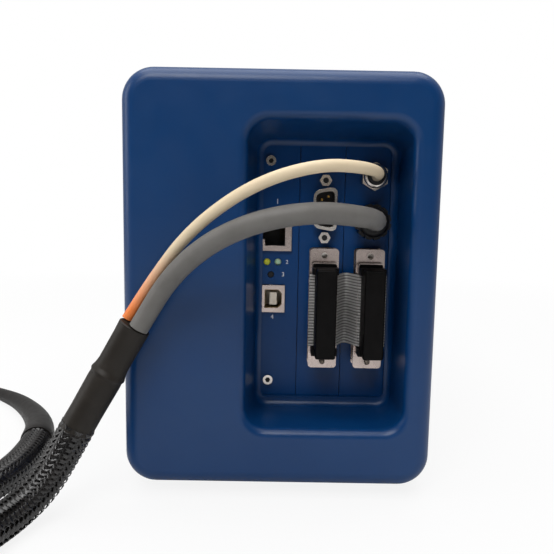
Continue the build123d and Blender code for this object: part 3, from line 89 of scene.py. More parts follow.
camera_data = bpy.data.cameras.new("camera")
camera_data.sensor_width = SENSOR_WIDTH
camera_data.lens = SENSOR_WIDTH * FOCAL_PIXELS / PICTURE_PIXELS
camera_data.clip_start = 0.01
camera = bpy.data.objects.new("camera", camera_data)
bpy.context.scene.collection.objects.link(camera)
turn = Matrix((picture_right, -picture_down, -forward)).transposed()
camera.matrix_world = Matrix.Translation(place(-2.14, -236.9, 121.4)) @ turn.to_4x4()
bpy.context.scene.camera = camera


# Helpers for materials

# How strongly surfaces mirror the lights: metals, and everything else
METAL_SHEEN_LEVEL = 0.5
SHEEN_LEVEL = 0.22


def new_material(name, color, roughness, metallic=0.0):
    """A material whose plain values sit on its shader; the texture nodes are added to it later."""
    material = bpy.data.materials.new(name)
    material.use_nodes = True
    shader = material.node_tree.nodes["Principled BSDF"]
    shader.inputs["Base Color"].default_value = color
    shader.inputs["Roughness"].default_value = roughness
    shader.inputs["Metallic"].default_value = metallic
    shader.inputs["Specular IOR Level"].default_value = METAL_SHEEN_LEVEL if metallic else SHEEN_LEVEL
    return material


def shader_of(material):
    return material.node_tree.nodes["Principled BSDF"]


def coordinates(material, stretch=(1.0, 1.0, 1.0)):
    """The piece's own coordinates, stretched along its axes."""
    tree = material.node_tree
    source = tree.nodes.new("ShaderNodeTexCoord")
    mapping = tree.nodes.new("ShaderNodeMapping")
    mapping.inputs["Scale"].default_value = stretch
    tree.links.new(source.outputs["Object"], mapping.inputs["Vector"])
    return mapping.outputs["Vector"]


def height_over(material):
    """The height over the table, as a value for the nodes."""
    tree = material.node_tree
    split = tree.nodes.new("ShaderNodeSeparateXYZ")
    tree.links.new(coordinates(material), split.inputs["Vector"])
    return split.outputs["Z"]


def calculated(tree, operation, value, number):
    """A value after one calculation with a fixed number."""
    node = tree.nodes.new("ShaderNodeMath")
    node.operation = operation
    node.inputs[1].default_value = number
    tree.links.new(value, node.inputs[0])
    return node.outputs["Value"]


def map_range(tree, value, low=0.0, high=1.0, to_low=0.0, to_high=1.0):
    """Maps the span of a value from low to high onto another span, and holds it there beyond both."""
    node = tree.nodes.new("ShaderNodeMapRange")
    node.inputs["From Min"].default_value = low
    node.inputs["From Max"].default_value = high
    node.inputs["To Min"].default_value = to_low
    node.inputs["To Max"].default_value = to_high
    tree.links.new(value, node.inputs["Value"])
    return node.outputs["Result"]


def noise(material, grain, detail=2.0, stretch=(1.0, 1.0, 1.0)):
    """Noise whose grains are about that many metres across; gives its value from 0 to 1."""
    tree = material.node_tree
    texture = tree.nodes.new("ShaderNodeTexNoise")
    texture.inputs["Scale"].default_value = 1.0 / grain
    texture.inputs["Detail"].default_value = detail
    tree.links.new(coordinates(material, stretch), texture.inputs["Vector"])
    return texture.outputs["Fac"]


def ramp(material, value, low, high):
    """Stretches the part of a value between low and high over 0 to 1."""
    return map_range(material.node_tree, value, low, high)


def blend_colors(material, value, first, second):
    """Goes from the first colour to the second as the value goes from 0 to 1, into Base Color."""
    tree = material.node_tree
    mix = tree.nodes.new("ShaderNodeMix")
    mix.data_type = "RGBA"
    mix.inputs[6].default_value = first
    mix.inputs[7].default_value = second
    tree.links.new(value, mix.inputs[0])
    tree.links.new(mix.outputs[2], shader_of(material).inputs["Base Color"])


def vary_roughness(material, value, low, high):
    """Lets the roughness go from low to high with a value."""
    tree = material.node_tree
    roughness = map_range(tree, value, to_low=low, to_high=high)
    tree.links.new(roughness, shader_of(material).inputs["Roughness"])


def bump(material, value, height):
    """Raises the surface by up to that height in metres where the value is 1."""
    tree = material.node_tree
    node = tree.nodes.new("ShaderNodeBump")
    node.inputs["Distance"].default_value = height
    node.inputs["Strength"].default_value = 1.0
    tree.links.new(value, node.inputs["Height"])
    tree.links.new(node.outputs["Normal"], shader_of(material).inputs["Normal"])


def sprayed_paint(name, color, worn, roughness, gloss):
    """Satin paint with a faint orange peel, and a slightly duller, paler tone in large patches."""
    material = new_material(name, color, roughness)
    shader_of(material).inputs["Specular IOR Level"].default_value = gloss
    patches = ramp(material, noise(material, 28 * MM, detail=3.0), 0.35, 0.75)
    blend_colors(material, patches, color, worn)
    vary_roughness(material, noise(material, 9 * MM, detail=4.0), roughness - 0.07, roughness + 0.09)
    bump(material, noise(material, 0.9 * MM, detail=1.0), 0.012 * MM)
    return material


def powder_coat(name, color, worn):
    """Thick powder paint with a pebbled grain."""
    material = new_material(name, color, 0.5)
    blend_colors(material, ramp(material, noise(material, 30 * MM, detail=4.0), 0.3, 0.8), color, worn)
    vary_roughness(material, noise(material, 6 * MM, detail=3.0), 0.42, 0.58)
    bump(material, noise(material, 0.55 * MM, detail=2.0), 0.05 * MM)
    return material


def plated_metal(name, color, stained, roughness):
    """Plated or blackened metal, a little uneven in colour and in gloss."""
    material = new_material(name, color, roughness, metallic=1.0)
    blend_colors(material, ramp(material, noise(material, 12 * MM, detail=3.0), 0.4, 0.9), color, stained)
    vary_roughness(material, noise(material, 6 * MM, detail=2.0), roughness - 0.03, roughness + 0.05)
    bump(material, noise(material, 1.5 * MM, detail=1.0), 0.004 * MM)
    return material


def brushed_metal(name, color, dulled, roughness, along):
    """Rolled or brushed sheet, with fine lines along one axis."""
    lines = [1.0, 1.0, 1.0]
    lines[along] = 0.03
    material = new_material(name, color, roughness, metallic=1.0)
    streaks = noise(material, 0.4 * MM, detail=3.0, stretch=tuple(lines))
    blend_colors(material, streaks, color, dulled)
    vary_roughness(material, streaks, roughness - 0.06, roughness + 0.12)
    bump(material, streaks, 0.006 * MM)
    return material


def moulded_plastic(name, color, faded, roughness, grain=0.35 * MM):
    """Moulded plastic with a spark-eroded grain and a little dust in it."""
    material = new_material(name, color, roughness)
    blend_colors(material, ramp(material, noise(material, 5 * MM, detail=4.0), 0.4, 0.85), color, faded)
    vary_roughness(material, noise(material, 2 * MM, detail=3.0), roughness - 0.06, roughness + 0.1)
    bump(material, noise(material, grain, detail=2.0), 0.012 * MM)
    return material


def cable_jacket(name, color, dulled, roughness):
    """Extruded cable jacket with scuffs and fingermarks."""
    material = new_material(name, color, roughness)
    scuffs = ramp(material, noise(material, 7 * MM, detail=5.0), 0.4, 0.75)
    blend_colors(material, scuffs, color, dulled)
    vary_roughness(material, noise(material, 3 * MM, detail=4.0), roughness - 0.08, roughness + 0.1)
    bump(material, noise(material, 0.7 * MM, detail=3.0), 0.02 * MM)
    return material


# Materials

bezel_paint = sprayed_paint("bezel_paint", srgb(0, 50, 98), srgb(3, 53, 101), 0.34, 0.38)
panel_paint = sprayed_paint("panel_paint", srgb(0, 56, 110), srgb(3, 58, 112), 0.30, 0.2)
case_paint = powder_coat("case_paint", srgb(44, 50, 60), srgb(54, 60, 70))
zinc_sheet = brushed_metal("zinc_sheet", srgb(186, 188, 190), srgb(160, 162, 166), 0.36, along=2)
supply_sheet = brushed_metal("supply_sheet", srgb(190, 192, 194), srgb(168, 170, 174), 0.34, along=1)
foot_rubber = moulded_plastic("foot_rubber", srgb(24, 24, 25), srgb(40, 40, 41), 0.72)
black_oxide = plated_metal("black_oxide", srgb(42, 42, 46), srgb(60, 58, 58), 0.42)
nickel = plated_metal("nickel", srgb(212, 206, 200), srgb(188, 180, 172), 0.24)
tin_plate = plated_metal("tin_plate", srgb(186, 172, 166), srgb(150, 138, 132), 0.26)
gold_flash = plated_metal("gold_flash", srgb(222, 178, 96), srgb(196, 150, 74), 0.25)
dark_insulator = moulded_plastic("dark_insulator", srgb(20, 20, 21), srgb(34, 33, 33), 0.48)
ivory_insulator = moulded_plastic("ivory_insulator", srgb(226, 216, 200), srgb(206, 192, 172), 0.42)
cover_plastic = moulded_plastic("cover_plastic", srgb(6, 5, 5), srgb(15, 13, 13), 0.46)
nylon_black = moulded_plastic("nylon_black", srgb(22, 22, 24), srgb(40, 39, 40), 0.40)
button_plastic = moulded_plastic("button_plastic", srgb(30, 30, 32), srgb(44, 43, 44), 0.45)
guide_nylon = moulded_plastic("guide_nylon", srgb(232, 230, 220), srgb(214, 210, 196), 0.45)
board_mask = moulded_plastic("board_mask", srgb(20, 92, 58), srgb(30, 108, 68), 0.30)
inlet_plastic = moulded_plastic("inlet_plastic", srgb(20, 20, 22), srgb(32, 32, 34), 0.34)
fan_plastic = moulded_plastic("fan_plastic", srgb(24, 24, 26), srgb(38, 38, 40), 0.45)
# Darker than the plated faces: the lining's brass tone, and painted shade inside the data socket
shaded_brass_lining = plated_metal("shaded_brass_lining", srgb(120, 100, 62), srgb(88, 72, 44), 0.42)
white_ink = moulded_plastic("white_ink", srgb(222, 224, 226), srgb(200, 204, 208), 0.5)
terminal_brass = plated_metal("terminal_brass", srgb(206, 186, 130), srgb(172, 150, 98), 0.28)

grey_jacket = cable_jacket("grey_jacket", srgb(106, 104, 101), srgb(98, 96, 93), 0.46)
shrink_tube = cable_jacket("shrink_tube", srgb(34, 30, 26), srgb(44, 40, 36), 0.46)
lead_jacket = cable_jacket("lead_jacket", srgb(26, 26, 27), srgb(40, 39, 39), 0.48)


def ribbed_vinyl(name, color, groove_shade, low_z, pitch):
    """A ribbon's vinyl with painted shade in the grooves between its wires, which lie a pitch apart in
    height.
    """
    material = cable_jacket(name, color, color, 0.40)
    tree = material.node_tree
    offset = calculated(tree, "SUBTRACT", height_over(material), low_z)
    from_groove = calculated(tree, "PINGPONG", offset, pitch / 2)
    # Painted shade: the colour darkens towards each groove between the wires
    blend_colors(material, ramp(material, from_groove, 0.0, pitch * 0.3), groove_shade, color)
    return material


ribbon_low, ribbon_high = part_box("ribbon_cable")
RIBBON_WIRES = 25
wire_pitch = (ribbon_high[2] - ribbon_low[2]) / RIBBON_WIRES
# The ribbon's grey, and the painted shade of its grooves
ribbon_vinyl_shaded_grooves = ribbed_vinyl(
    "ribbon_vinyl_shaded_grooves", srgb(168, 166, 164), srgb(58, 56, 55), ribbon_low[2], wire_pitch
)
# The taper's heat shrink is the sleeve's, made darker as painted shade where it lies open to the overhead
# light
shaded_taper_tube = cable_jacket("shaded_taper_tube", srgb(20, 18, 16), srgb(30, 27, 25), 0.48)
braid_core = cable_jacket("braid_core", srgb(10, 9, 9), srgb(16, 15, 15), 0.60)
braid_yarn = moulded_plastic("braid_yarn", srgb(11, 9, 9), srgb(40, 37, 36), 0.26, grain=0.25 * MM)

# The yarn shines more than other plastics, and the plugs' covers shine less
shader_of(braid_yarn).inputs["Specular IOR Level"].default_value = 0.6
shader_of(cover_plastic).inputs["Specular IOR Level"].default_value = 0.1


def two_tone_jacket(name, upper, lower, low_z, high_z):
    """A jacket that has yellowed towards its lower end, between two heights in metres."""
    material = cable_jacket(name, upper, upper, 0.42)
    blend_colors(material, ramp(material, height_over(material), low_z, high_z), lower, upper)
    return material


cream_jacket = two_tone_jacket(
    "cream_jacket", srgb(216, 198, 168), srgb(226, 126, 66), 80 * MM, 104 * MM
)


def lamp_lens(name, color, core):
    """A tinted lens with its pale die in the middle, unlit."""
    material = new_material(name, color, 0.16)
    blend_colors(material, noise(material, 0.8 * MM, detail=2.0), color, core)
    shader_of(material).inputs["Subsurface Weight"].default_value = 0.25
    shader_of(material).inputs["Subsurface Scale"].default_value = 1.0 * MM
    return material


lamp_yellow = lamp_lens("lamp_yellow", srgb(190, 196, 44), srgb(214, 214, 90))
lamp_green = lamp_lens("lamp_green", srgb(150, 188, 150), srgb(190, 214, 186))

fuse_glass = new_material("fuse_glass", srgb(225, 232, 230), 0.05)
shader_of(fuse_glass).inputs["Transmission Weight"].default_value = 0.8
bump(fuse_glass, noise(fuse_glass, 2 * MM, detail=1.0), 0.01 * MM)

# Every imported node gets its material

FINISHES = {
    "front_bezel": bezel_paint,
    "front_frame": black_oxide,
    "chassis_tray": case_paint,
    "top_cover": case_paint,
    "rear_panel": case_paint,
    "rubber_feet": foot_rubber,
    "case_screws": black_oxide,
    "controller_panel": panel_paint,
    "auxiliary_panel": panel_paint,
    "channel_panel": panel_paint,
    "captive_screws": nickel,
    "network_jack_shell": tin_plate,
    "network_jack_insert": dark_insulator,
    "network_jack_contacts": gold_flash,
    "data_socket_shell": tin_plate,
    "data_socket_insert": ivory_insulator,
    "led_holder": dark_insulator,
    "status_led_yellow": lamp_yellow,
    "status_led_green": lamp_green,
    "reset_switch": dark_insulator,
    "reset_button": button_plastic,
    "serial_port_shell": tin_plate,
    "serial_port_insert": dark_insulator,
    "serial_port_pins": gold_flash,
    "jackscrews": nickel,
    "link_sockets": tin_plate,
    "link_plug_shells": tin_plate,
    "link_plug_bodies": cover_plastic,
    "link_plug_covers": cover_plastic,
    "ribbon_cable": ribbon_vinyl_shaded_grooves,
    "hex_gland_body": nickel,
    "hex_gland_cap": nickel,
    "round_gland_body": nylon_black,
    "round_gland_cap": nylon_black,
    "gland_locknuts": nickel,
    "controller_board": board_mask,
    "auxiliary_board": board_mask,
    "channel_board": board_mask,
    "card_guides": guide_nylon,
    "backplane": board_mask,
    "backplane_bracket": zinc_sheet,
    "power_supply": supply_sheet,
    "power_inlet": inlet_plastic,
    "power_rocker": inlet_plastic,
    "fuse_drawer": inlet_plastic,
    "fuse": fuse_glass,
    "fan_frame": fan_plastic,
    "fan_rotor": fan_plastic,
    "earth_terminal": terminal_brass,
}
for node, finish in FINISHES.items():
    materials = nodes[node].data.materials
    for number in range(max(1, len(materials))):
        if number < len(materials):
            materials[number] = finish
        else:
            materials.append(finish)

# Helpers for meshes


def mesh_piece(name, vertices, faces, material, slot, *replaced, sharp=35.0):
    """A piece that rides on the case, from its points and faces, smooth but for its sharp edges."""
    mesh = bpy.data.meshes.new(name)
    mesh.from_pydata(vertices, [], faces)
    mesh.materials.append(material)
    mesh.shade_smooth()
    mesh.set_sharp_from_angle(angle=math.radians(sharp))
    piece = bpy.data.objects.new(name, mesh)
    bpy.context.scene.collection.objects.link(piece)
    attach(piece, "case")
    if replaced:
        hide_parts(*replaced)
    return piece


def joined_rings(rings, radii, sides=32):
    """Points and faces of a closed round form: a ring is its centre and two spokes across it.

    Each radius is in millimetres, or a pair for an oval ring: along its first spoke and its second.
    """
    vertices = []
    faces = []
    for (centre, spoke, other), radius in zip(rings, radii):
        wide, thick = radius if isinstance(radius, tuple) else (radius, radius)
        for side in range(sides):
            angle = 2 * math.pi * side / sides
            outward = spoke * wide * math.cos(angle) + other * thick * math.sin(angle)
            vertices.append(centre + outward * MM)
    for ring in range(len(rings) - 1):
        for side in range(sides):
            following = (side + 1) % sides
            low, high = ring * sides, (ring + 1) * sides
            faces.append((low + side, low + following, high + following, high + side))
    faces.append(tuple(reversed(range(sides))))
    faces.append(tuple(range((len(rings) - 1) * sides, len(rings) * sides)))
    return vertices, faces


def revolved(name, outline, start, direction, material, slot):
    """A turned piece: its outline is (distance along, radius) in millimetres from its start."""
    axis = Vector(direction).normalized()
    spoke = axis.orthogonal().normalized()
    other = axis.cross(spoke)
    rings = [(start + axis * distance * MM, spoke, other) for distance, radius in outline]
    radii = [radius for distance, radius in outline]
    return mesh_piece(name, *joined_rings(rings, radii), material, slot)


# The bevel around a cut sheet, in millimetres
SHEET_BEVEL = 0.06


def cut_sheet(name, outlines, depth, thickness, material):
    """A flat plate facing front: the first outline is its edge and the others are holes in it."""
    data = bpy.data.curves.new(name, "CURVE")
    data.dimensions = "2D"
    data.fill_mode = "BOTH"
    data.extrude = (thickness / 2 - SHEET_BEVEL) * MM
    data.bevel_depth = SHEET_BEVEL * MM
    data.bevel_resolution = 2
    for outline in outlines:
        spline = data.splines.new("POLY")
        spline.points.add(len(outline) - 1)
        for point, (x, z) in zip(spline.points, outline):
            point.co = (x * MM, z * MM, 0.0, 1.0)
        spline.use_cyclic_u = True
    drawing = bpy.data.objects.new(name, data)
    mesh = bpy.data.meshes.new_from_object(drawing)
    bpy.data.objects.remove(drawing)
    mesh.transform(Matrix.Rotation(math.radians(90), 4, "X"))
    mesh.transform(Matrix.Translation((0.0, FRONT_Y + (depth + thickness / 2) * MM, 0.0)))
    mesh.materials.clear()
    mesh.materials.append(material)
    piece = bpy.data.objects.new(name, mesh)
    bpy.context.scene.collection.objects.link(piece)
    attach(piece, "case")


def box_outline(x, z, width, height):
    """The four corners of an upright rectangle about its middle."""
    left, right = x - width / 2, x + width / 2
    low, high = z - height / 2, z + height / 2
    return [(left, low), (right, low), (right, high), (left, high)]


# Cables: each follows the smooth line of a route, whose points are across, depth and height


def smooth_curve(name, route, resolution):
    """A curve along a route's smooth line, without thickness."""
    data = bpy.data.curves.new(name, "CURVE")
    data.dimensions = "3D"
    data.resolution_u = resolution
    spline = data.splines.new("NURBS")
    spline.points.add(len(route) - 1)
    for point, (x, depth, z) in zip(spline.points, route):
        point.co = (*place(x, depth, z), 1.0)
    spline.order_u = 3
    spline.use_endpoint_u = True
    return data


def cable_curve(name, route, diameter, material, slot, *replaced):
    """A round cable along the route's smooth line."""
    data = smooth_curve(name, route, 10)
    data.bevel_depth = diameter / 2
    data.bevel_resolution = 5
    data.use_fill_caps = True
    data.materials.append(material)
    cable = bpy.data.objects.new(name, data)
    bpy.context.scene.collection.objects.link(cable)
    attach(cable, "case")
    if replaced:
        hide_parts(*replaced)
    return cable


def guide_line(name, route):
    """Points along the smooth line of a route, for a mesh that follows it."""
    drawing = bpy.data.objects.new(name, smooth_curve(name, route, 12))
    mesh = bpy.data.meshes.new_from_object(drawing)
    line = [vertex.co.copy() for vertex in mesh.vertices]
    bpy.data.objects.remove(drawing)
    return line


def steady_rings(line, step, first_spoke=None):
    """Rings a fixed step apart along a line, whose spokes turn with it and don't twist."""
    reached = [0.0]
    for before, after in zip(line, line[1:]):
        reached.append(reached[-1] + (after - before).length)
    count = max(2, round(reached[-1] / step))
    points = []
    at = 0
    for number in range(count + 1):
        wanted = reached[-1] * number / count
        while at < len(line) - 2 and reached[at + 1] < wanted:
            at += 1
        share = (wanted - reached[at]) / (reached[at + 1] - reached[at])
        points.append(line[at].lerp(line[at + 1], share))
    rings = []
    spoke = first_spoke
    for number, point in enumerate(points):
        ahead = (points[min(number + 1, count)] - points[max(number - 1, 0)]).normalized()
        if spoke is None:
            spoke = ahead.orthogonal()
        spoke = (spoke - ahead * spoke.dot(ahead)).normalized()
        rings.append((point, spoke, ahead.cross(spoke)))
    return rings


def eased(outline, share):
    """Reads a value off an outline of (share along, value) pairs, straight between them."""
    for (before, low), (after, high) in zip(outline, outline[1:]):
        if share <= after:
            part = (share - before) / (after - before)
            if isinstance(low, tuple):
                return tuple(a + (b - a) * part for a, b in zip(low, high))
            return low + (high - low) * part
    return outline[-1][1]


grey_route = [
    (40.0, 25.0, 114.6),
    (40.0, 15.0, 114.6),
    (36.2, -7.0, 116.4),
    (27.5, -22.0, 117.8),
    (12.4, -31.2, 119.2),
    (-5.3, -32.0, 116.6),
    (-21.0, -27.3, 110.3),
    (-33.8, -20.0, 101.2),
    (-43.8, -12.8, 90.4),
    (-50.6, -10.6, 79.4),
    (-54.2, -11.0, 73.3),
]
cream_route = [
    (40.3, 26.0, 134.2),
    (40.3, 15.0, 134.2),
    (36.2, -6.0, 134.6),
    (28.2, -21.5, 135.1),
    (13.6, -31.0, 135.2),
    (-4.0, -31.8, 130.6),
    (-20.0, -26.6, 121.9),
    (-35.5, -17.5, 109.2),
    (-48.2, -8.0, 93.4),
    (-55.6, -6.0, 82.4),
    (-59.4, -7.0, 76.2),
]
sleeve_route = [
    (-55.9, -9.2, 73.9),
    (-66.2, -8.6, 55.6),
    (-79.3, -12.0, 32.0),
]
lead_in_route = [
    (-77.8, -11.6, 34.6),
    (-84.2, -13.3, 22.6),
    (-89.8, -18.6, 12.6),
    (-96.4, -28.4, 7.0),
    (-101.4, -44.0, 7.0),
    (-106.6, -63.0, 7.0),
    (-111.4, -84.0, 7.0),
    (-115.4, -106.0, 7.0),
]
tail_route = [
    (-166.0, -57.2, 16.5),
    (-153.0, -53.6, 13.8),
    (-138.0, -43.6, 10.6),
    (-123.8, -27.4, 8.0),
    (-113.4, -3.7, 7.0),
    (-111.6, 20.0, 7.0),
    (-114.4, 37.6, 7.2),
]

# The coil lies on the table beside the case: a turn and three quarters, clockwise from above

COIL_X = -189.5
COIL_DEPTH = -128.0
COIL_RADIUS = 70.0
COIL_STEP = 22.5
COIL_STEPS = 28
CLIMB_START = 250.0
CLIMB_SPAN = 90.0
LOW_TURN = 7.0
HIGH_TURN = 21.4


def smooth_step(share):
    """Goes from 0 to 1 with a gentle start and end."""
    share = min(max(share, 0.0), 1.0)
    return share * share * (3.0 - 2.0 * share)


def coil_route():
    """The coil's points: the second turn climbs onto the first."""
    # The smooth line cuts inside its points, so these lie a little outside the coil
    reach = COIL_RADIUS / math.cos(math.radians(COIL_STEP) / 2) ** 0.75
    points = []
    for step in range(1, COIL_STEPS):
        angle = step * COIL_STEP
        climb = smooth_step((angle - CLIMB_START) / CLIMB_SPAN)
        x = COIL_X + reach * math.cos(math.radians(-angle))
        depth = COIL_DEPTH + reach * math.sin(math.radians(-angle))
        points.append((x, depth, LOW_TURN + (HIGH_TURN - LOW_TURN) * climb))
    return points


braid_route = lead_in_route + coil_route() + tail_route

grey_cable = cable_curve("grey_cord", grey_route, GREY_DIAMETER, grey_jacket, "grey_jacket", "grey_cable")
cream_cable = cable_curve(
    "cream_cord", cream_route, CREAM_DIAMETER, cream_jacket, "beige_jacket", "beige_cable"
)

# The heat-shrunk sleeve: oval over the two cables, a step, and round over the braid's end. Each entry
# is a share of the way along it, and the oval's two radii in millimetres

SLEEVE_RADII = [
    (0.0, (6.0, 4.6)),
    (0.006, (6.35, 5.0)),
    (0.10, (6.2, 4.9)),
    (0.36, (6.15, 5.0)),
    (0.41, (6.5, 5.4)),
    (0.45, (7.1, 6.3)),
    (0.475, (6.6, 5.9)),
    (0.52, (6.7, 6.2)),
    (0.80, (6.5, 6.4)),
    (0.985, (6.6, 6.6)),
    (0.994, (6.75, 6.75)),
    (1.0, (6.5, 6.5)),
]

sleeve_rings = steady_rings(guide_line("sleeve_guide", sleeve_route), 0.35 * MM, Vector((1.0, 0.0, 0.0)))
sleeve_radii = [
    eased(SLEEVE_RADII, number / (len(sleeve_rings) - 1)) for number in range(len(sleeve_rings))
]
sleeve = mesh_piece(
    "shrink_sleeve",
    *joined_rings(sleeve_rings, sleeve_radii, sides=48),
    shrink_tube,
    "shrink_black",
    "heat_shrink_sleeve",
)

# The braid: flat strands wind both ways over a dark core, each over two and under two others. The
# heights are in millimetres from the cable's middle, and the step is in metres

STRANDS = 18
STRAND_STEP = 1.22 * MM
STRAND_HALF_WIDTH = 0.95
STRAND_EDGE_DROP = 0.22
BRAID_HIGH = BRAID_DIAMETER / 2 / MM - 0.05
BRAID_LOW = BRAID_HIGH - 0.75
CORE_RADIUS = BRAID_LOW - 0.12
STRAND_TURN = math.pi / STRANDS

braid_line = guide_line("braid_guide", braid_route)
braid_rings = steady_rings(braid_line, STRAND_STEP)
braid_vertices, braid_faces = joined_rings(braid_rings, [CORE_RADIUS] * len(braid_rings), sides=24)
core_faces = len(braid_faces)
for way in (1, -1):
    for strand in range(STRANDS):
        for number, (centre, spoke, other) in enumerate(braid_rings):
            angle = 2 * math.pi * strand / STRANDS + way * STRAND_TURN * number
            shift = 2 if way < 0 else 0
            over = (number + way * 2 * strand + shift) % 4 < 2
            radius = BRAID_HIGH if over else BRAID_LOW
            spread = STRAND_HALF_WIDTH / radius
            for side, drop in ((-1, STRAND_EDGE_DROP), (0, 0.0), (1, STRAND_EDGE_DROP)):
                turned = angle + side * spread
                outward = spoke * math.cos(turned) + other * math.sin(turned)
                braid_vertices.append(centre + outward * (radius - drop) * MM)
            # Three points across the strand join the three of the ring before
            if number:
                last = len(braid_vertices) - 6
                braid_faces.append((last, last + 1, last + 4, last + 3))
                braid_faces.append((last + 1, last + 2, last + 5, last + 4))
braid = mesh_piece(
    "braided_cord",
    braid_vertices,
    braid_faces,
    braid_core,
    "braid_black",
    "braid_lead_in",
    "braid_coil",
    "braid_tail",
    sharp=75.0,
)
braid.data.materials.append(braid_yarn)
for face in braid.data.polygons[core_faces:]:
    face.material_index = 1

# A tapering sleeve at the braid's end, from which three thin leads come out. Each radius is in
# millimetres at a share of the way along it

breakout_route = [
    (-114.4, 37.6, 7.2),
    (-118.2, 53.0, 6.8),
    (-130.0, 76.0, 5.9),
    (-147.5, 99.5, 4.8),
    (-164.0, 115.0, 3.9),
    (-178.4, 126.6, 3.1),
]
BREAKOUT_RADII = [(0.0, 7.4), (0.02, 7.7), (0.25, 6.5), (0.5, 5.2), (0.75, 4.1), (0.99, 3.0), (1.0, 2.7)]
breakout_rings = steady_rings(guide_line("breakout_guide", breakout_route), 1.5 * MM)
breakout_radii = [
    eased(BREAKOUT_RADII, number / (len(breakout_rings) - 1)) for number in range(len(breakout_rings))
]
breakout = mesh_piece(
    "breakout_taper",
    *joined_rings(breakout_rings, breakout_radii),
    shaded_taper_tube,
    "shrink_black",
    "breakout_sleeve",
)

lead_routes = [
    [
        (-171.0, 119.7, 4.2),
        (-178.0, 127.5, 2.2),
        (-192.0, 139.0, 1.1),
        (-212.0, 144.0, 1.1),
        (-232.0, 139.0, 1.1),
        (-247.0, 124.0, 1.1),
        (-254.0, 104.0, 1.1),
        (-256.0, 88.0, 3.0),
    ],
    [
        (-172.0, 120.0, 2.4),
        (-181.0, 126.0, 1.3),
        (-196.0, 130.5, 1.1),
        (-214.0, 129.0, 1.1),
        (-228.0, 117.0, 1.1),
        (-235.5, 99.0, 1.1),
        (-237.5, 80.0, 1.1),
        (-238.5, 64.0, 3.0),
    ],
    [
        (-171.0, 121.4, 2.4),
        (-178.5, 130.0, 1.5),
        (-189.0, 146.0, 1.1),
        (-207.0, 157.0, 1.1),
        (-229.0, 158.5, 1.1),
        (-249.0, 149.5, 1.1),
        (-264.0, 134.0, 1.1),
        (-271.5, 118.5, 3.0),
    ],
]
leads = [
    cable_curve(f"lead_cord_{number}", route, LEAD_DIAMETER, lead_jacket, "lead_jacket", f"lead_{number}")
    for number, route in enumerate(lead_routes, start=1)
]


# The leads' plugs: a ribbed grip and a sprung pin, lying flat where each lead ends

GRIP_OUTLINE = [(0.0, 1.3), (0.0, 1.8), (3.0, 2.3), (4.0, 2.9), (6.0, 3.0)]
for rib in range(5):
    start = 8.0 + 2.4 * rib
    GRIP_OUTLINE += [(start, 3.0), (start + 0.3, 2.65), (start + 1.2, 2.65), (start + 1.5, 3.0)]
GRIP_OUTLINE += [(23.4, 3.0), (24.0, 2.6), (24.0, 1.2)]
PIN_OUTLINE = [(23.5, 1.0), (25.0, 1.0), (27.0, 1.35), (31.0, 1.5), (34.5, 1.2), (36.0, 0.7), (36.0, 0.1)]

for number, route in enumerate(lead_routes, start=1):
    end = place(*route[-1])
    along = end - place(*route[-2])
    along.z = 0.0
    grip = revolved(f"lead_plug_{number}", GRIP_OUTLINE, end, along, lead_jacket, "lead_jacket")
    pin = revolved(f"lead_pin_{number}", PIN_OUTLINE, end, along, nickel, "bright_screws")
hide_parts("lead_plugs")

# The ribbon between the two link plugs: 25 round wires side by side, sagging inwards in the gap

WIRE_POINTS = 6
RIDGE_HEIGHT = 0.42 * MM
FRONT_INSET = 0.45 * MM
BACK_INSET = 0.6 * MM
ribbon_front = ribbon_low[1] + FRONT_INSET
ribbon_sag = ribbon_high[1] - BACK_INSET - ribbon_front
gap_middle = (ribbon_low[0] + ribbon_high[0]) / 2
GAP_HALF = 5.7 * MM
RIBBON_STEPS = 60
ribbon_vertices = []
ribbon_faces = []
across_points = RIBBON_WIRES * WIRE_POINTS + 1
for side in (-1, 1):
    for step in range(RIBBON_STEPS + 1):
        x = ribbon_low[0] + (ribbon_high[0] - ribbon_low[0]) * step / RIBBON_STEPS
        off = min(abs(x - gap_middle) / GAP_HALF, 1.0)
        y = ribbon_front + ribbon_sag * (1.0 - smooth_step(off))
        for number in range(across_points):
            share = (number % WIRE_POINTS) / WIRE_POINTS
            ridge = RIDGE_HEIGHT * math.sqrt(max(0.02, 1.0 - (2.0 * share - 1.0) ** 2))
            z = ribbon_low[2] + wire_pitch * number / WIRE_POINTS
            ribbon_vertices.append((x, y + side * ridge, z))
back_start = len(ribbon_vertices) // 2
for step in range(RIBBON_STEPS):
    for number in range(across_points - 1):
        corner = step * across_points + number
        beside = corner + across_points
        ribbon_faces.append((corner, beside, beside + 1, corner + 1))
        back = corner + back_start
        behind = beside + back_start
        ribbon_faces.append((back, back + 1, behind + 1, behind))
mesh_piece(
    "ribbon_wires", ribbon_vertices, ribbon_faces, ribbon_vinyl_shaded_grooves, "ribbon_grey", "ribbon_cable", sharp=50.0
)

# Metal faces of the network jack and the square data socket, each with its opening

FACE_DEPTH = 31.0
FACE_THICK = 0.45

JACK_FACE = box_outline(-1.8, 108.8, 13.3, 15.9)
JACK_LEFT = -7.0
JACK_RIGHT = 2.1
JACK_LOW = 103.1
JACK_HIGH = 114.7
LATCH_LEFT = -8.0
LATCH_LOW = 105.9
LATCH_HIGH = 111.9
jack_opening = [
    (JACK_LEFT, JACK_LOW),
    (JACK_RIGHT, JACK_LOW),
    (JACK_RIGHT, JACK_HIGH),
    (JACK_LEFT, JACK_HIGH),
    (JACK_LEFT, LATCH_HIGH),
    (LATCH_LEFT, LATCH_HIGH),
    (LATCH_LEFT, LATCH_LOW),
    (JACK_LEFT, LATCH_LOW),
]
cut_sheet("jack_face", [JACK_FACE, jack_opening], FACE_DEPTH, FACE_THICK, tin_plate)

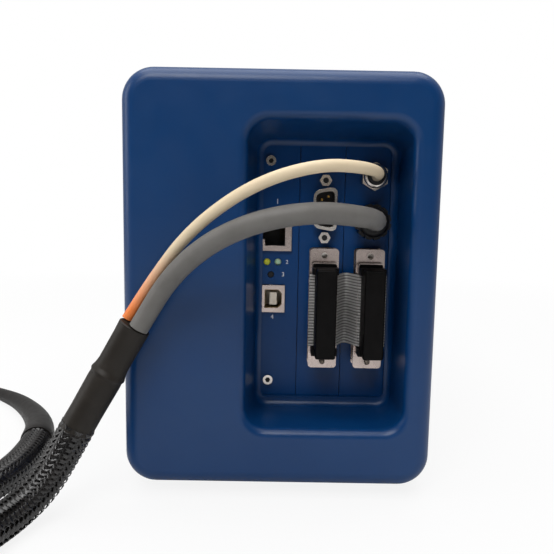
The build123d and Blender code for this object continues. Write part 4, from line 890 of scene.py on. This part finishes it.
DATA_X = -2.9
DATA_Z = 79.15
DATA_FACE = box_outline(DATA_X, DATA_Z, 10.3, 12.3)
DATA_LEFT = -6.8
DATA_RIGHT = 1.0
DATA_LOW = 74.925
DATA_HIGH = 83.375
DATA_CUT = 1.7
LINING_SHARE = 0.93
data_opening = [
    (DATA_LEFT, DATA_LOW),
    (DATA_RIGHT - DATA_CUT, DATA_LOW),
    (DATA_RIGHT, DATA_LOW + DATA_CUT),
    (DATA_RIGHT, DATA_HIGH - DATA_CUT),
    (DATA_RIGHT - DATA_CUT, DATA_HIGH),
    (DATA_LEFT, DATA_HIGH),
]
data_lining = [
    (DATA_X + (x - DATA_X) * LINING_SHARE, DATA_Z + (z - DATA_Z) * LINING_SHARE) for x, z in data_opening
]
cut_sheet("data_face", [DATA_FACE, data_opening], FACE_DEPTH, FACE_THICK, tin_plate)
# The lining's dark tone is partly painted shade in the socket's cavity
LINING_DEPTH = 31.4
LINING_LENGTH = 8.6
cut_sheet(
    "data_lining", [data_opening, data_lining], LINING_DEPTH, LINING_LENGTH, shaded_brass_lining
)

# The serial port's rolled rim


def d_shape(x, z, length, width, corner):
    """A D connector's outline with rounded corners, its long side on the right."""
    slant = width * math.tan(math.radians(10.0))
    half = length / 2
    corners = [
        Vector((x + width / 2, z - half)),
        Vector((x + width / 2, z + half)),
        Vector((x - width / 2, z + half - slant)),
        Vector((x - width / 2, z - half + slant)),
    ]
    outline = []
    for number, point in enumerate(corners):
        before = point + (corners[number - 1] - point).normalized() * corner
        after = point + (corners[(number + 1) % 4] - point).normalized() * corner
        for step in range(7):
            share = step / 6
            bent = before.lerp(point, share).lerp(point.lerp(after, share), share)
            outline.append((bent.x, bent.y))
    return outline


SERIAL = (19.3, 119.76)
RIM_DEPTH = 27.4
RIM_THICK = 0.7
rim_outlines = [d_shape(*SERIAL, 19.8, 10.4, 3.4), d_shape(*SERIAL, 16.7, 8.2, 2.6)]
cut_sheet("serial_rim", rim_outlines, RIM_DEPTH, RIM_THICK, nickel)

# Small plain numbers on the panels beside the sockets, lamps and button

MARK_DEPTH = PANEL_DEPTH - 0.04
FONT_SIZE_SHARE = 1.45


def mark(number, x, z, height):
    """A printed number on the panels, centred on a point."""
    data = bpy.data.curves.new(f"mark_{number}", "FONT")
    data.body = str(number)
    data.size = height * FONT_SIZE_SHARE * MM
    data.align_x = "CENTER"
    data.align_y = "CENTER"
    data.extrude = 0.02 * MM
    data.materials.append(white_ink)
    text = bpy.data.objects.new(f"mark_{number}", data)
    text.rotation_euler = (math.radians(90), 0.0, 0.0)
    text.location = place(x, MARK_DEPTH, z)
    bpy.context.scene.collection.objects.link(text)
    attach(text, "case")


MARKS = [(1, -1.6, 122.7, 2.2), (2, 3.1, 95.75, 1.7), (3, 1.4, 90.1, 1.9), (4, -3.2, 70.6, 1.9)]
for number, x, z, height in MARKS:
    mark(number, x, z, height)

# Black discs as painted shade at the bottoms of the screws' drives and threaded holes


def dark_bottom(name, x, z, depth, radius, sides):
    """A black disc that closes a small hole, centred on a point: painted shade in the hole."""
    outline = []
    for corner in range(sides):
        angle = 2 * math.pi * corner / sides
        outline.append((x + radius * math.cos(angle), z + radius * math.sin(angle)))
    cut_sheet(name, [outline], depth, 0.3, nylon_black)


CAPTIVE_X = -4.75
CAPTIVE_Z = (140.6, 41.5)
CAPTIVE_BOTTOM = PANEL_DEPTH - 1.1
for number, z in enumerate(CAPTIVE_Z, start=1):
    dark_bottom(f"captive_socket_shade_{number}", CAPTIVE_X, z, CAPTIVE_BOTTOM, 1.05, 6)

POST_OFFSET = 12.5
POST_BOTTOM = PANEL_DEPTH - 4.6
for number, offset in enumerate((POST_OFFSET, -POST_OFFSET), start=1):
    dark_bottom(f"serial_post_hole_shade_{number}", SERIAL[0], SERIAL[1] + offset, POST_BOTTOM, 1.15, 20)

# The black seal between the hex gland and its cable, a ring about the cable's start

SEAL_DEPTH = 22.3
SEAL_OUTLINE = [(0.0, 2.2), (0.0, 3.6), (0.8, 3.9), (1.6, 3.4), (1.9, 2.5), (1.9, 2.2)]
seal_x, _, seal_z = cream_route[0]
seal_start = place(seal_x, SEAL_DEPTH, seal_z)
revolved("hex_gland_seal", SEAL_OUTLINE, seal_start, (0.0, -1.0, 0.0), nylon_black, "gland_black")

# Floor, background and lights

bpy.context.scene.view_settings.view_transform = "Standard"

# The camera sees a white floor, a little greyer near the object; it takes light as a pale grey one

floor_mesh = bpy.data.meshes.new("floor")
FLOOR_REACH = 6.0
corners = [(-FLOOR_REACH, -FLOOR_REACH, 0.0), (FLOOR_REACH, -FLOOR_REACH, 0.0)]
corners += [(FLOOR_REACH, FLOOR_REACH, 0.0), (-FLOOR_REACH, FLOOR_REACH, 0.0)]
floor_mesh.from_pydata(corners, [], [(0, 1, 2, 3)])
floor = bpy.data.objects.new("floor", floor_mesh)
bpy.context.scene.collection.objects.link(floor)
floor_white = new_material("floor_white", (0.7, 0.7, 0.7, 1.0), 0.9)
floor_tree = floor_white.node_tree
floor_seen = floor_tree.nodes.new("ShaderNodeEmission")
floor_path = floor_tree.nodes.new("ShaderNodeLightPath")
floor_mix = floor_tree.nodes.new("ShaderNodeMixShader")
far_away = floor_tree.nodes.new("ShaderNodeVectorMath")
far_away.operation = "LENGTH"
floor_tree.links.new(coordinates(floor_white), far_away.inputs[0])
whiter = map_range(floor_tree, far_away.outputs["Value"], 0.25, 0.75, 0.87, 1.0)
to_camera = floor_tree.nodes.new("ShaderNodeMath")
to_camera.operation = "MULTIPLY"
floor_tree.links.new(whiter, to_camera.inputs[0])
floor_tree.links.new(floor_path.outputs["Is Camera Ray"], to_camera.inputs[1])
floor_tree.links.new(to_camera.outputs["Value"], floor_mix.inputs["Fac"])
floor_tree.links.new(shader_of(floor_white).outputs["BSDF"], floor_mix.inputs[1])
floor_tree.links.new(floor_seen.outputs["Emission"], floor_mix.inputs[2])
floor_tree.links.new(floor_mix.outputs["Shader"], floor_tree.nodes["Material Output"].inputs["Surface"])
floor_mesh.materials.append(floor_white)

# The world is white to the camera; it lights the object from behind and hardly from the front

world = bpy.data.worlds.new("studio")
world.use_nodes = True
bpy.context.scene.world = world
world_tree = world.node_tree
background = world_tree.nodes["Background"]
background.inputs["Color"].default_value = (1.0, 1.0, 1.0, 1.0)
direction = world_tree.nodes.new("ShaderNodeTexCoord")
split = world_tree.nodes.new("ShaderNodeSeparateXYZ")
world_tree.links.new(direction.outputs["Generated"], split.inputs["Vector"])
front_to_back = map_range(world_tree, split.outputs["Y"], -0.7, 0.3, 0.04, 0.55)
world_tree.links.new(front_to_back, background.inputs["Strength"])
seen = world_tree.nodes.new("ShaderNodeBackground")
seen.inputs["Color"].default_value = (1.0, 1.0, 1.0, 1.0)
seen.inputs["Strength"].default_value = 1.0
path = world_tree.nodes.new("ShaderNodeLightPath")
choose = world_tree.nodes.new("ShaderNodeMixShader")
world_tree.links.new(path.outputs["Is Camera Ray"], choose.inputs["Fac"])
world_tree.links.new(background.outputs["Background"], choose.inputs[1])
world_tree.links.new(seen.outputs["Background"], choose.inputs[2])
world_tree.links.new(choose.outputs["Shader"], world_tree.nodes["World Output"].inputs["Surface"])


def soft_light(name, position, target, width, height, watts):
    """A rectangular softbox that faces a point."""
    data = bpy.data.lights.new(name, "AREA")
    data.shape = "RECTANGLE"
    data.size = width
    data.size_y = height
    data.energy = watts
    light = bpy.data.objects.new(name, data)
    bpy.context.scene.collection.objects.link(light)
    light.location = position
    light.rotation_euler = (Vector(target) - Vector(position)).to_track_quat("-Z", "Y").to_euler()


MIDDLE = (0.0, -0.1, 0.09)
soft_light("overhead", (0.0, -0.1, 1.2), MIDDLE, 1.4, 0.9, 12.0)
soft_light("front_key", (-0.25, -1.1, 1.25), MIDDLE, 0.9, 0.7, 15.0)
soft_light("left_fill", (-1.3, -0.3, 0.5), MIDDLE, 0.5, 0.9, 4.0)
